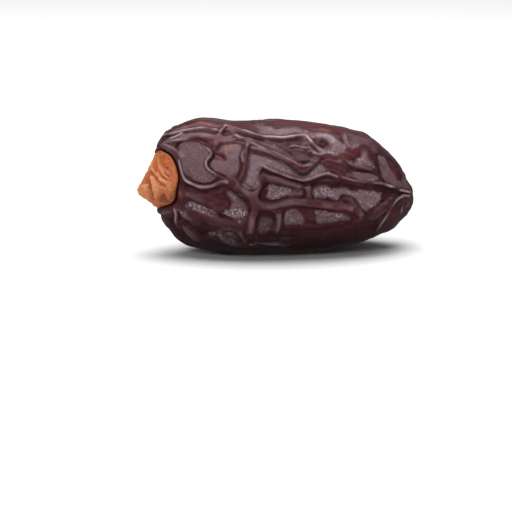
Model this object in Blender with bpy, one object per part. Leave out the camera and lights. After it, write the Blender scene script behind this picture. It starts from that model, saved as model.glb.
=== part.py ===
"""A dried date lying on its side: the wrinkled fruit and the dried cap at its stem end.

Lengths below are in millimetres and the finished pieces in metres. The body frame has u along the
fruit from the stem end to the apex, v to the side away from the viewer and w upward. The folds on
the seen side are given where they were read, as pixels of a view at VIEW_TURN and VIEW_RISE.
"""

import math

import bmesh
import bpy
import numpy as np
from mathutils import Vector
from mathutils.bvhtree import BVHTree
from mathutils.kdtree import KDTree

METRE = 0.001
SEED = 41

# The view the folds and the outline were read in
PX_PER_MM = 6.0
VIEW_TURN = math.radians(-10.0)
VIEW_RISE = math.radians(12.0)
VIEW_DISTANCE = 320.0
VIEW_MIDDLE = (256.0, 256.0)
FRUIT_MIDDLE = (275.0, 186.0)
AXIS_SLOPE = math.radians(4.47)
AXIS_FALL = math.radians(6.5)

# The smooth body
STEM_POLE_U = -20.5
APEX_POLE_U = 23.85
AXIS_RAISE = -0.2
SECTION_POWER = 2.2
TOP_OUTLINE = [
    (156, 149.2), (158.1, 146), (160.5, 139.7), (163.4, 133.8), (167.2, 131), (172, 128.7), (181, 125.6),
    (190.5, 120.6), (200, 118.5), (210, 118.5), (220, 119.5), (230, 121.2), (240, 120.9), (262, 119.8),
    (280, 119.7), (300, 121), (320, 120.7), (340, 124.6), (352, 128.2), (367, 132), (378, 140),
    (388, 150), (398.5, 161), (405.6, 174.4), (410.8, 184.2), (414.1, 190.5),
]
BOTTOM_OUTLINE = [
    (157, 205.5), (160.3, 211.5), (166.5, 224.5), (174.5, 236.5), (186, 244.2), (199, 249.3), (216, 252.4),
    (243, 254.6), (262, 254.4), (285, 253.7), (310, 252.4), (340, 247.5), (365, 241.8), (388, 230.5),
    (400.5, 222.5), (409.2, 213.9), (413.7, 206.5),
]
# Distance from the stem pole along the fruit, and half of the depth there
SIDE_OUTLINE = [
    (0.5, 2.1), (1.5, 3.6), (3.7, 5.4), (6.5, 7.4), (10.0, 9.3), (15.0, 10.8), (20.0, 11.3), (25.0, 11.3),
    (30.0, 10.8), (35.0, 9.4), (38.5, 7.6), (41.0, 5.6), (43.0, 3.2), (44.0, 1.5),
]
CUTS_ALONG = 130
CUTS_ROUND = 68
# How much of the way over the surface is cut from the poles, which way the shown side faces round the
# axis, how much closer the cuts lie there, and how many triangles are kept
CAP_SHARE = 0.14
SHOWN_TURN = math.radians(-79.0)
CROWDING = 0.42
FRUIT_TRIANGLES = 11300

# The folds' shape: how far the skin lies below its outline between them, how steeply it must face the
# viewer for a fold to be read there, how wide the sunken fields' rounded edge is outside and inside
# their wall, how narrow a slanting line is taken to look at least, from which width on and how flat a line's
# top is, the wall's share of their depth, how wide the narrowest line is, how strongly fields and lines are
# pressed in, and how high and wide the broad swells and the shallow wrinkles are
SKIN_DROP = 0.2
SHOWN_FROM = 0.02
SHOWN_FULLY = 0.3
SHOULDER_PX = 3.5
LEAST_SLANT = 0.5
FLAT_FROM_PX = 4.0
FLAT_POWER = 4.0
SHOULDER_INNER_PX = 1.5
WALL_SHARE = 0.8
NARROWEST_PX = 3.8
FIELD_STRENGTH = 0.9
LINE_STRENGTH = 0.8
SWELL_HEIGHT = 0.12
SWELL_SIZE = 3.0
WRINKLE_HEIGHT = 0.1
WRINKLE_SIZE = 1.7

# The flat spot it rests on: how much is trimmed off, up to where the folds are calmed and by how much,
# and what is still taken as level
REST_TRIM = 0.42
REST_CALM = 1.2
REST_CALMING = 0.85
REST_LEVEL = 0.02

# The dried cap: where its edge lies on the fruit, its outer outline, how far its hidden side reaches
# against the shown one and how far round that begins, and how its height falls towards its sides
CAP_EDGE = [
    (157.3, 153.3), (159.5, 149.5), (164, 151.5), (168.5, 155.2), (172, 160), (174.8, 164.8),
    (176.3, 168.5), (176.6, 174), (176.2, 182), (175.6, 190), (174.6, 196.5), (172.8, 200.8),
    (169.5, 203.8), (165, 206), (160, 206.8),
]
CAP_OUTLINE = [
    (160.5, 151.5), (157.5, 154.5), (154.5, 159.5), (151.7, 166), (148.6, 173), (146.4, 177), (144, 183),
    (142.3, 187.5), (141, 191), (140.3, 194), (141.8, 197), (146, 199.3), (152, 203.3), (158, 207),
]
CAP_MIDDLE_W = -0.1
CAP_BACK_SHARE = 0.68
CAP_BACK_TURN = 0.25
CAP_RAGGED = 0.06
CAP_FRONT_CURVE = 1.5
CAP_BACK_CURVE = 2.2
CAP_RIM = 0.32
CAP_CRUMPLE = 0.32
CAP_LEAST = 0.3
CAP_CUTS = 26
CAP_TRIANGLES = 1600

# The dish under the cap and the skin's lip round it, as shares of the cap's reach
DISH_DEPTH = 0.55
DISH_WALL = 1.09
LIP_PLACE = 1.17
LIP_WIDTH = 0.07
LIP_HEIGHT = 0.28
CAP_GAP = 0.3
DISH_RULES_FROM = 1.32
DISH_RULES_FULLY = 1.12

# Raised folds: width in pixels, height in millimetres, then the pixels they run through
RIDGES = {
    "lip": (6, 0.25, [(161, 147.5), (165, 148.5), (169.5, 151.5), (174, 155.8), (178, 161.5), (180, 168)]),
    "lip fold a": (2.6, 0.34, [
        (163, 135), (170.6, 133.9), (180, 131.4), (190, 128.9), (197.5, 127.6), (203, 127.3),
        (212.5, 129.2), (220.6, 130.1),
    ]),
    "lip fold b": (2.6, 0.2, [(166, 139), (174, 137), (181, 133), (185, 131)]),
    "lip fold c": (2.8, 0.2, [
        (162, 143), (166, 142), (173, 140.6), (181, 139.2), (188.5, 138), (194, 135.6), (198, 133),
    ]),
    "lip fold d": (4, 0.06, [(193, 136.5), (200, 135.2), (207, 135), (214, 136.5), (220, 138)]),
    "collar": (3, 0.5, [
        (178.8, 157.5), (180, 163), (181.3, 168), (182.5, 173), (184.8, 178.5), (188.8, 182.7),
        (193.8, 185.6), (200, 187.3), (206.3, 187.7), (211.3, 186.8), (215.6, 184.8), (220, 183),
        (225, 182.4), (230, 183.5),
    ]),
    "panel one rim": (2.2, 0.24, [
        (205, 146.5), (209.5, 150), (211.3, 153), (210, 156.3), (206.8, 158.3), (205.3, 161), (205, 164),
        (206.2, 167.2), (208.8, 170), (212.5, 172.5), (218, 176),
    ]),
    "panel two left rim": (4, 0.15, [(217, 139), (215.5, 145), (214.5, 150), (211.5, 155)]),
    "panel two right rim": (2.4, 0.22, [
        (249.4, 142.8), (245.6, 147), (242.8, 152), (241.9, 157), (243, 160.8),
    ]),
    "shoulder cross fold": (3.4, 0.28, [(226.5, 123.5), (223.8, 126.5), (221.5, 130), (220, 133.5)]),
    "long upper": (3.2, 0.25, [
        (256, 133.6), (263, 135.3), (272, 136.2), (282, 136.2), (292, 135.6), (300, 134.8), (305.5, 134),
        (308.5, 137), (311.5, 141), (316, 145.5), (322, 150), (326, 152.5),
    ]),
    "second upper": (2.6, 0.14, [
        (249, 141.5), (255, 143.8), (260, 146), (265, 148.3), (275, 152.3), (283.8, 156.9), (293.8, 161.5),
        (300, 164.8),
    ]),
    "third upper": (2.4, 0.1, [(262, 138), (270, 140.2), (278.8, 143), (285, 147.5), (291.9, 151.8)]),
    "middle band": (5.2, 0.3, [
        (252.5, 147.3), (261.3, 150), (272.5, 154.2), (282.5, 158.8), (290, 162.8), (295.5, 165.8),
        (300.5, 167.5), (306, 167.5), (310.5, 165.3), (315.5, 161), (320, 157),
    ]),
    "middle band low": (3.6, 0.22, [
        (294, 168), (298.5, 171), (303, 172), (307.5, 170.5), (312.5, 166), (318, 161), (321.5, 158),
    ]),
    "band right": (5.5, 0.22, [
        (320, 162), (326, 160.7), (333, 161.2), (340, 163.6), (346, 167), (350, 171),
    ]),
    "boomerang rim": (2.6, 0.25, [
        (262, 165.3), (266.3, 167.6), (277.5, 172.4), (287.5, 175.7), (296.3, 178.3), (303, 180.3),
        (310.6, 178.8), (318, 176.3), (327.5, 173), (333, 174.8), (340, 177.8),
    ]),
    "upright middle": (4.2, 0.36, [
        (249, 142), (246.5, 147), (245.2, 152), (244.8, 158), (245, 164), (243.5, 170), (241.5, 176),
        (239, 181), (238, 184),
    ]),
    "small crook": (2.6, 0.18, [(288, 146.3), (292.5, 144), (298, 144), (304, 146), (311, 148)]),
    "top swell": (5, 0.16, [
        (274, 131.5), (280, 129.3), (286, 128), (293, 127.6), (299, 128.8), (305, 131.2),
    ]),
    "top spur": (5, 0.2, [(262, 119.5), (265.5, 122.5), (270, 126.5), (276, 129)]),
    "right soft a": (5, 0.09, [
        (309, 133.5), (316, 134), (324, 134.3), (330, 137.3), (335, 142), (338.5, 147),
    ]),
    "bright bend": (3.4, 0.17, [
        (311, 149), (315, 152.5), (320.5, 155), (327, 153), (333, 153.6), (338.5, 155.3),
    ]),
    "right upright": (3.4, 0.12, [(344.5, 131.5), (346, 136), (348, 141), (350.5, 145), (353, 149)]),
    "right hook": (3, 0.13, [(345, 159.5), (350, 163.5), (357, 166), (366, 168), (375, 170)]),
    "far right edge": (3, 0.08, [(380.5, 154), (381.5, 162), (383, 171), (385.5, 179)]),
    "apex upper": (2.8, 0.3, [
        (378, 182.2), (385.8, 184), (392.6, 186.5), (399.5, 189.3), (405.8, 191), (412, 192.3),
    ]),
    "apex lower": (2.4, 0.3, [
        (411, 195.6), (405, 195.6), (400, 197.5), (395, 201.2), (391, 206.3), (388.9, 211.8), (386, 217.5),
        (382, 223), (378, 229), (375, 234),
    ]),
    "apex short": (2.2, 0.2, [(404, 203), (402.5, 210), (401, 217)]),
    "under cap": (2.4, 0.28, [(174.3, 205.3), (175.3, 212), (175.3, 220.7), (176.7, 226), (180, 231)]),
    "lower left a": (7, 0.3, [(178, 207), (184, 211.5), (190, 217), (195, 222.5), (201, 227.5)]),
    "lower left b": (7, 0.3, [(181, 226), (190, 231.5), (196.7, 238), (199, 243)]),
    "lower left c": (6.5, 0.25, [(184, 190), (192, 194), (203, 199), (214, 204), (224, 207)]),
    "lower left d": (6.5, 0.3, [
        (187, 211), (196, 215.3), (205, 218.6), (214, 221.3), (222, 223.8), (232, 226), (245, 227.3),
        (251, 226),
    ]),
    "lower middle": (6, 0.42, [
        (230, 182.5), (237, 186), (240, 187), (248, 193), (253.9, 199.8), (256, 206), (256, 212),
        (253, 217), (251, 225), (250, 231), (248, 238),
    ]),
    "long middle": (5, 0.36, [
        (263, 177.3), (270, 178.3), (278, 180), (286, 182.3), (294, 184.8), (301, 187), (306, 188.6),
    ]),
    "basin rim": (5, 0.4, [
        (262, 181), (258.5, 186), (256, 191), (255, 196), (257, 201.5), (262, 205.5), (268, 207),
        (275, 206.5), (283, 203.8), (291.9, 201.8), (302.5, 202), (312, 203.5), (320, 204.8), (335, 206),
        (350, 207.5), (357, 211),
    ]),
    "basin end": (5.5, 0.4, [(308.2, 184), (309, 190), (309.2, 197), (308, 202)]),
    "wide panel end": (5, 0.34, [(348, 198.5), (353, 203), (357, 207.5), (360.5, 213.5), (364, 220)]),
    "wide panel keel": (5.5, 0.34, [
        (397, 195), (393, 201), (386, 207), (380, 212), (374, 218), (366, 224),
    ]),
    "round rim top": (4.5, 0.3, [(255, 210), (260, 208.5), (266, 208.5), (273, 209), (277, 211)]),
    "round rim right": (5, 0.4, [(277, 209), (278.8, 214), (278.8, 220), (277, 228), (274, 235)]),
    "round rim low": (6, 0.1, [(255, 232), (260, 238), (267, 240), (274, 236)]),
    "lower belly rim": (6, 0.14, [
        (281, 229), (290, 231), (302, 229.5), (312, 229), (320, 229), (330, 227), (342, 225.5), (352, 224),
    ]),
    "lower belly left": (3.6, 0.28, [
        (215.8, 235.4), (224.5, 240.4), (232.6, 245.4), (242, 247.3), (252, 247),
    ]),
    "lower belly middle": (3.6, 0.28, [
        (260.8, 242.3), (269.5, 244.8), (278.3, 245), (285.8, 245.4), (294.5, 243.5),
    ]),
    "lower belly tie": (3.6, 0.22, [(239.5, 230), (240.5, 235), (243.3, 239.8), (245.8, 246)]),
    "upper glint": (2.6, 0.2, [(232, 132.8), (237, 135), (241, 137.3), (247, 138.5)]),
    "stripe low": (2.2, 0.09, [(262, 143.5), (270, 147), (279, 151.5), (287, 156), (296, 161)]),
    "right branch": (3, 0.1, [(352, 149.5), (356, 146), (361, 144)]),
    "apex upper left": (2.6, 0.14, [
        (340, 177.3), (350, 179.3), (357, 180.6), (366, 182.3), (376, 182.6), (382, 182.6),
    ]),
    "apex short b": (2.2, 0.15, [(411, 200), (408.5, 205), (405.5, 209)]),
    "long upper left": (2.2, 0.2, [
        (221, 122.5), (228, 124.8), (237.5, 127.8), (247.5, 131), (256, 133.6), (266, 135.6),
    ]),
}

# Dark lines pressed in beside the folds: width, depth, pixels
CREASES = {
    "lip line": (3, 0.2, [(168, 133), (180, 128), (192, 125), (203, 123.5), (213, 124.5)]),
    "lip groove": (2.4, 0.15, [
        (165, 137), (174, 135), (183, 132.5), (195, 130.5), (210, 131.8), (219, 133.5),
    ]),
    "panel one top": (2.6, 0.25, [
        (178.7, 157.5), (177, 153), (175.3, 148.5), (176.3, 143.5), (180.5, 140), (188, 138.6),
        (196, 138.5), (202, 140), (208, 143.8),
    ]),
    "panel two top": (2.6, 0.14, [(230, 139.8), (238, 140.3), (247, 142)]),
    "rim right of one": (2.6, 0.28, [
        (213.5, 150), (213.4, 155), (209.5, 159.5), (207, 163.5), (208.2, 167.5), (212, 170.8),
        (217, 173.3), (222, 175.5), (227, 178.5),
    ]),
    "panel one foot": (2, 0.26, [
        (184, 174.5), (187, 179), (192, 182.3), (198.8, 184), (206, 184.9), (212, 183.2), (216, 180.3),
        (219, 178),
    ]),
    "below collar": (4, 0.2, [
        (183, 181), (189, 187.5), (197, 190.5), (206, 191.3), (214, 190), (222, 187),
    ]),
    "shoulder pocket": (7, 0.42, [(224.5, 128.5), (227, 131.2), (229.5, 134.8)]),
    "under long upper": (2.8, 0.22, [
        (229, 128.8), (237.5, 131.5), (248, 135), (256.3, 137.6), (265, 139), (275, 139.9), (284, 140.2),
        (293, 140), (300, 141), (306, 143.5), (311, 146.5),
    ]),
    "under second": (2.4, 0.18, [(250, 143.3), (260, 147.6), (270, 152), (280, 156.6), (289, 161)]),
    "under middle band": (2.6, 0.22, [
        (252, 150.8), (260, 152.8), (268, 155.6), (277.5, 159.2), (286, 163), (292, 167), (297, 171.5),
        (302, 174.6), (307.5, 173.8), (313, 168.3), (319, 162.5),
    ]),
    "left of upright": (2.4, 0.22, [
        (245, 147), (242.8, 152), (242.3, 157), (243, 162), (242.3, 168), (239.5, 174), (236, 178.8),
    ]),
    "boomerang foot": (2.4, 0.22, [
        (240.5, 184), (242.5, 188), (247, 190.6), (252, 191), (257, 189.8), (261.5, 186),
    ]),
    "boomerang notch": (6, 0.34, [(260.5, 170), (262.5, 171.5), (265, 173)]),
    "under boomerang": (4.2, 0.3, [
        (260.5, 171), (266.9, 172.3), (275, 175.3), (283.8, 178), (293, 181), (300, 183.3), (306.3, 184),
        (311.9, 182.7), (318.8, 179.7), (325, 176.6), (330, 176.4),
    ]),
    "crook shadow": (2.4, 0.08, [(290, 148.8), (297, 148.6), (303, 150.3), (309, 152.3)]),
    "bend diagonal a": (2.4, 0.22, [(309.5, 142.5), (312.5, 145.7), (317, 149.5), (322, 153)]),
    "bend diagonal b": (2.4, 0.2, [(319.5, 161), (324, 159.3), (328, 158.4), (334, 159), (341, 161)]),
    "right hook line": (2.4, 0.22, [
        (342, 161), (347, 164.8), (350.8, 168.6), (355.8, 170.6), (368.3, 171), (377, 172.8),
    ]),
    "far right line": (2.4, 0.25, [
        (378, 152), (378.6, 158), (379.2, 162), (380, 168), (381.4, 174.3), (383.3, 180.5),
    ]),
    "under apex upper": (4.5, 0.25, [
        (362, 184.5), (375, 185.8), (385, 188.3), (393, 191), (400, 193), (408, 194),
    ]),
    "apex notch": (3, 0.22, [(394, 193.6), (402, 194), (409, 194.2)]),
    "under cap line": (4, 0.3, [(169, 214), (170, 221), (174, 229), (181, 235), (188, 239.5)]),
    "right of under cap": (3, 0.2, [(177.5, 209), (178.5, 217), (180, 224)]),
    "under lower belly": (6, 0.15, [(284, 234), (298, 234.5), (312, 233), (328, 232), (344, 230)]),
    "lower left line": (5, 0.25, [(181, 217), (190, 226), (200, 232), (212, 236), (226, 237)]),
    "upper pocket": (7, 0.34, [(284, 143), (292, 141.8), (300, 142), (307, 144.5)]),
    "band pocket": (4, 0.34, [(300, 162.8), (305, 163.5), (310, 162.3), (314, 160)]),
    "band split": (2, 0.14, [(296, 167.3), (301, 169.3), (306, 169.3), (311, 166.3), (316, 161.5)]),
    "bend diagonal c": (2, 0.18, [(312, 141.5), (316.5, 145.5), (321, 148.8), (325, 151)]),
    "upper valley": (6, 0.2, [(240, 123.3), (249, 124.5), (256, 127.3), (262, 131.2)]),
    "two pocket": (3.6, 0.22, [(210.5, 150.5), (215.5, 153), (221, 156), (226.5, 159.8)]),
    "hollow dark": (6.5, 0.26, [(319, 139.8), (324, 141.8), (328.5, 145)]),
}

# Sunken fields: depth, width of the slope at their edge in pixels, outline
PANELS = {
    "one": (0.28, 1.8, [
        (177.5, 142.7), (182, 140.8), (188.8, 140.2), (196, 140.5), (201, 142), (205.5, 145), (209, 148.3),
        (211, 151.8), (209.6, 155.8), (206.5, 157.5), (204.4, 160.2), (203.8, 163.9), (205, 167.6),
        (207.5, 170.8), (211.3, 173.4), (215.6, 175), (217.8, 176.4), (214.6, 178.6), (212.5, 180.9),
        (210, 182.6), (205, 183.3), (198.8, 182), (193, 180), (188.8, 177.6), (185.6, 173.9),
        (183.8, 169.5), (182.5, 165), (181.5, 160), (179.3, 155), (177.3, 150), (176.3, 146),
    ]),
    "two": (0.28, 1.8, [
        (213, 153.5), (216.5, 149), (219, 144.5), (222, 142.4), (231, 141.5), (238, 142), (244, 144),
        (242.5, 148), (240.8, 152), (239.6, 156), (239.6, 160), (240.5, 165), (239.3, 169.5),
        (236.9, 173.3), (233, 176.4), (230, 177.6), (226.3, 176.4), (221.9, 173.9), (217.5, 172),
        (212.5, 170), (209, 167.6), (207.2, 164.5), (207.8, 161.4), (210, 158.3),
    ]),
    "boomerang": (0.28, 1.8, [
        (249.5, 152), (253, 151.8), (258.8, 153.3), (267.5, 155.8), (277.5, 159.5), (285, 162.6),
        (291, 166), (296, 169.8), (299.5, 173.3), (303.5, 174.6), (308, 173), (312, 169), (316, 165.3),
        (320.5, 162), (325.5, 165), (328.8, 170), (327, 172.5), (322, 174.5), (317, 176.3), (311.9, 178),
        (306.3, 179.8), (302.5, 179.9), (298.8, 178), (291.3, 176.2), (283.8, 173.7), (277.5, 171.3),
        (271.3, 168.9), (266.3, 167), (261.9, 166.4), (260, 168.5), (259.5, 172), (260, 176), (260.6, 180),
        (260.5, 183.8), (258.5, 187.2), (254, 189.2), (248.5, 189.6), (243.5, 187.8), (241.2, 185),
        (241.2, 181.5), (243.8, 177), (246, 172), (247, 167), (247.4, 160.8), (248.2, 155),
    ]),
    "striped band": (0.03, 3, [
        (243, 133), (250, 135.5), (258, 138.5), (268, 140.8), (278, 143), (285, 149), (292, 153),
        (295, 158), (293, 160), (284, 153.5), (273, 149), (262, 144.5), (252, 139.5), (245, 136),
    ]),
    "small right": (0.18, 2.5, [
        (289.5, 152), (294, 150.3), (300, 151), (307, 153.5), (312, 156.8), (315.3, 160), (311, 161),
        (307, 160.8), (303, 161.8), (299, 160.3), (294, 157),
    ]),
    "right hollow": (0.15, 8, [
        (315.5, 138.5), (322, 136.5), (328, 139.5), (331.5, 143.5), (331, 147.5), (326, 149), (320.5, 147),
        (316.5, 143),
    ]),
    "right mottled": (0.1, 5, [
        (358, 155), (362, 150.5), (368, 148.5), (373, 152), (376, 157), (377, 164), (376, 168.5),
        (366, 167), (358, 165.5), (352, 163), (355, 159),
    ]),
    "shoulder": (0.2, 5, [
        (188, 127), (196, 122), (206, 121), (218, 123), (221, 127), (212, 127), (203, 125), (195, 126),
    ]),
    "red dip": (0.25, 4, [
        (325, 161), (331, 161.5), (338, 163.5), (346, 168), (352, 172), (353, 175), (346, 175.8),
        (338, 174.3), (331, 171.5), (327, 167.5),
    ]),
    "slot": (0.2, 2, [
        (184.5, 206), (187, 202.8), (192, 202), (197, 204), (203, 206.5), (209, 209), (214, 212),
        (218, 216), (215.5, 217.8), (210, 216), (202, 213.5), (194, 211), (188, 209),
    ]),
    "lower left": (0.35, 3, [
        (223.3, 190.4), (229, 189), (234, 191.6), (242, 199.8), (248.3, 206), (249.5, 211), (247, 216),
        (242, 222.3), (238.5, 223.6), (232.6, 221), (224.5, 218.5), (218, 215.5), (221, 211),
        (226.4, 209.5), (229.5, 203.5), (224.5, 196.6),
    ]),
    "basin": (0.45, 3, [
        (267, 182.6), (277, 183.8), (287, 186.4), (298, 189), (305, 190.8), (307, 194), (304.5, 199),
        (297, 199.8), (290, 199.8), (283, 201.3), (276, 204), (268, 204.8), (261.5, 203), (258.6, 198.5),
        (259, 193), (262.5, 187),
    ]),
    "wide": (0.4, 3, [
        (312, 184.5), (322, 182.5), (335, 183.3), (350, 184.3), (362, 187.5), (375, 190), (388, 192.3),
        (393, 196), (388, 201.7), (380, 207), (373, 212), (366, 215.3), (362.5, 211), (357, 204.5),
        (352.5, 198.5), (348.5, 197), (343, 200), (337, 203), (325, 204), (314, 202.5), (311.5, 198),
        (311, 190),
    ]),
    "round": (0.26, 4, [
        (259, 212.5), (266, 211), (273, 212.5), (276.5, 218), (276, 228), (272, 235), (265, 239),
        (259, 239), (256.3, 230), (256.5, 219),
    ]),
    "lower belly": (0.32, 5, [
        (283, 222), (283.5, 215.5), (287.5, 210), (298, 207.3), (310, 208.3), (325, 210), (342, 212.5),
        (352.5, 217.5), (354, 222), (345, 226), (330, 229), (312, 230.5), (298, 231.5), (288, 231.5),
        (283.5, 228),
    ]),
    "lower right": (0.25, 2.5, [
        (371.5, 221), (375, 215), (381, 211), (388, 208.3), (386, 213.5), (381, 218.5), (375, 222.5),
    ]),
    "left low": (0.25, 3, [
        (222, 233), (232, 231), (238, 235), (242, 243), (238, 244), (229, 241.5), (222, 238),
    ]),
    "patch low": (0.2, 3, [(278, 239.5), (284, 238), (291, 239), (292, 242.5), (284, 243.5), (279, 243)]),
    "under cap": (0.3, 4, [(158.5, 212), (166, 209), (172, 211), (172, 219), (168, 222), (162, 219)]),
    "apex strip": (0.12, 3, [
        (345, 172.5), (352, 170.5), (362, 171.5), (372, 173), (379, 175), (381.5, 180.3), (376, 181.3),
        (366, 180.5), (356, 179), (347, 176.8),
    ]),
    "far right dip": (0.22, 3.5, [
        (388, 157.5), (393, 160), (397.5, 165), (401, 171), (402.3, 178), (400, 181), (396, 174.5),
        (392.5, 167.5), (389.5, 162),
    ]),
}

# Folds and dents of the dried cap, in the same form
CAP_RIDGES = {
    "left rim": (2.6, 0.22, [(158, 153), (155, 160), (151, 168), (147.5, 175)]),
    "lobe rim": (2.6, 0.25, [(143, 182), (140.8, 187), (141, 192), (143.5, 196.5), (147.5, 199.5)]),
    "keel": (3.6, 0.55, [(151, 176), (154, 181), (156.5, 187), (157.5, 193), (156, 200)]),
    "low rim": (3.2, 0.6, [(170, 187), (173, 192), (175, 197), (174, 202)]),
    "low edge": (3, 0.3, [(150, 203), (157, 206), (164, 207), (170, 205)]),
    "facet edge": (2.6, 0.28, [(160, 156), (158.5, 163), (160.5, 169), (165, 175), (170, 181), (173, 186)]),
    "streak one": (2, 0.25, [(152, 168), (156, 174), (160, 178), (166, 182), (171, 184)]),
    "streak two": (2, 0.22, [(156, 164), (158, 171), (160, 176)]),
    "cross fold": (2.4, 0.25, [(158, 185), (163, 188), (168, 188)]),
    "lobe": (6, 0.4, [(144, 184), (144.5, 189), (147, 195)]),
    "mid curl": (2.2, 0.3, [(160, 180), (165, 181.5), (169, 185), (171, 189)]),
    "right slope": (2, 0.22, [(168, 170), (170, 176), (173, 182)]),
}
CAP_CREASES = {
    "hollow": (7, 0.5, [(158, 198), (163, 199.5), (168, 199)]),
    "pinch": (3.6, 0.8, [(148.5, 180), (149.8, 185), (150.5, 191)]),
    "pinch low": (3, 0.4, [(150.5, 191), (152, 196), (154, 201)]),
    "diagonal": (2.2, 0.3, [(150, 171), (154.5, 177), (158.5, 182), (163, 185.5)]),
    "streak groove": (2, 0.25, [(157, 169), (161, 174), (166, 178.5), (171, 181)]),
    "upper dent": (3, 0.15, [(164, 163), (167, 168), (171, 175)]),
    "rim line": (1.8, 0.4, [(169, 189), (171.5, 194), (172.5, 199)]),
    "lobe line": (2.2, 0.3, [(146, 175), (145.5, 180), (147, 185)]),
    "dent a": (1.8, 0.25, [(163, 166), (166, 168.5), (169.5, 168)]),
    "dent b": (1.8, 0.25, [(165, 173), (168, 176), (172, 177)]),
    "slit": (3, 0.42, [(151.8, 181), (150.3, 186), (148.6, 191.5)]),
}

# Two networks of folds for the sides that the view doesn't show: how much longer than wide their
# fields are, how wide, how high the folds between them, and how unlike their levels
WIDE_FIELDS = (2.5, 3.9, 0.8, 0.32)
NARROW_FIELDS = (1.9, 2.4, 0.26, 0.08)


def remove_everything():
    """Start from an empty file."""
    for item in list(bpy.data.objects):
        bpy.data.objects.remove(item, do_unlink=True)


def smoothstep(low, high, value):
    """Ease from 0 at low to 1 at high."""
    share = np.clip((value - low) / (high - low), 0.0, 1.0)
    return share * share * (3.0 - 2.0 * share)


def lattice_value(cells, seed):
    """A steady random number from -1 to 1 for every corner of a whole-number lattice."""
    mixed = cells[:, 0] * 73856093 + cells[:, 1] * 19349663 + cells[:, 2] * 83492791 + seed * 6971
    mixed = (mixed & 0x7FFFFFFF) * 1103515 + 12345
    mixed = (mixed ^ (mixed >> 15)) & 0x7FFFFFFF
    mixed = (mixed * 69069 + 7) & 0x7FFFFFFF
    mixed = mixed ^ (mixed >> 11)
    return (mixed & 0xFFFF) / 32767.5 - 1.0


def noise(points, size, seed):
    """Smooth random field over points, with swells about one size across."""
    scaled = points / size
    corner = np.floor(scaled).astype(np.int64)
    share = scaled - corner
    share = share * share * (3.0 - 2.0 * share)
    total = np.zeros(len(points))
    for offset in np.ndindex(2, 2, 2):
        weight = np.ones(len(points))
        for axis in range(3):
            weight *= share[:, axis] if offset[axis] else 1.0 - share[:, axis]
        total += weight * lattice_value(corner + np.array(offset), seed)
    return total


def view_axes():
    """Right, up and back of the view as unit vectors."""
    back = np.array([
        math.sin(VIEW_TURN) * math.cos(VIEW_RISE),
        -math.cos(VIEW_TURN) * math.cos(VIEW_RISE),
        math.sin(VIEW_RISE),
    ])
    right = np.array([math.cos(VIEW_TURN), math.sin(VIEW_TURN), 0.0])
    return right, np.cross(back, right), back


def view_point():
    """Where the view is taken from, with the middle of the fruit at the origin."""
    right, up, back = view_axes()
    aside = (VIEW_MIDDLE[0] - FRUIT_MIDDLE[0]) / PX_PER_MM
    below = (FRUIT_MIDDLE[1] - VIEW_MIDDLE[1]) / PX_PER_MM
    return right * aside + up * below + back * VIEW_DISTANCE


def view_ray(pixel):
    """Direction of sight through a pixel."""
    right, up, back = view_axes()
    focal = PX_PER_MM * VIEW_DISTANCE
    ray = -back + right * (pixel[0] - VIEW_MIDDLE[0]) / focal + up * (VIEW_MIDDLE[1] - pixel[1]) / focal
    return ray / np.linalg.norm(ray)


def to_pixels(points):
    """Pixels at which points are seen."""
    right, up, back = view_axes()
    offset = points - view_point()
    depth = -(offset @ back)
    focal = PX_PER_MM * VIEW_DISTANCE
    across = VIEW_MIDDLE[0] + focal * (offset @ right) / depth
    down = VIEW_MIDDLE[1] - focal * (offset @ up) / depth
    return np.stack([across, down], axis=1)


def body_axes():
    """Directions of u, v and w; the apex hangs a little lower than the stem end."""
    along = np.array([math.cos(AXIS_FALL), 0.0, -math.sin(AXIS_FALL)])
    aside = np.array([0.0, 1.0, 0.0])
    above = np.array([math.sin(AXIS_FALL), 0.0, math.cos(AXIS_FALL)])
    return along, aside, above


def from_body(u, v, w):
    """Points from their body coordinates."""
    along, aside, above = body_axes()
    return np.outer(u, along) + np.outer(v, aside) + np.outer(w, above)


def outline_radius(outline, side):
    """Angle along the body and distance from the axis for outline pixels; side is 1 above, -1 below."""
    cos_slope = math.cos(AXIS_SLOPE)
    sin_slope = math.sin(AXIS_SLOPE)
    stretch = PX_PER_MM * math.cos(VIEW_TURN)
    angles = []
    radii = []
    for x, y in outline:
        dx = x - FRUIT_MIDDLE[0]
        dy = y - FRUIT_MIDDLE[1]
        u = (dx * cos_slope + dy * sin_slope) / stretch
        w = (dx * sin_slope - dy * cos_slope) / PX_PER_MM - AXIS_RAISE
        angles.append(body_angle(u))
        radii.append(side * w)
    return smooth_profile(angles, radii)


def body_angle(u):
    """Angle from 0 at the stem pole to pi at the apex that belongs to a place along the axis."""
    middle = (STEM_POLE_U + APEX_POLE_U) / 2.0
    half = (APEX_POLE_U - STEM_POLE_U) / 2.0
    return math.acos(max(-1.0, min(1.0, (middle - u) / half)))


def smooth_profile(angles, radii):
    """A smooth list of radii over even steps of the angle, 0 at both poles."""
    steps = 400
    reach = 60
    spread = 9.0
    even = np.linspace(0.0, math.pi, steps + 1)
    values = np.interp(even, [0.0] + angles + [math.pi], [0.0] + radii + [0.0])
    padded = np.concatenate([-values[reach:0:-1], values, -values[-2:-reach - 2:-1]])
    kernel = np.exp(-0.5 * (np.arange(-reach, reach + 1) / spread) ** 2)
    return np.convolve(padded, kernel / kernel.sum(), mode="valid")


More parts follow.
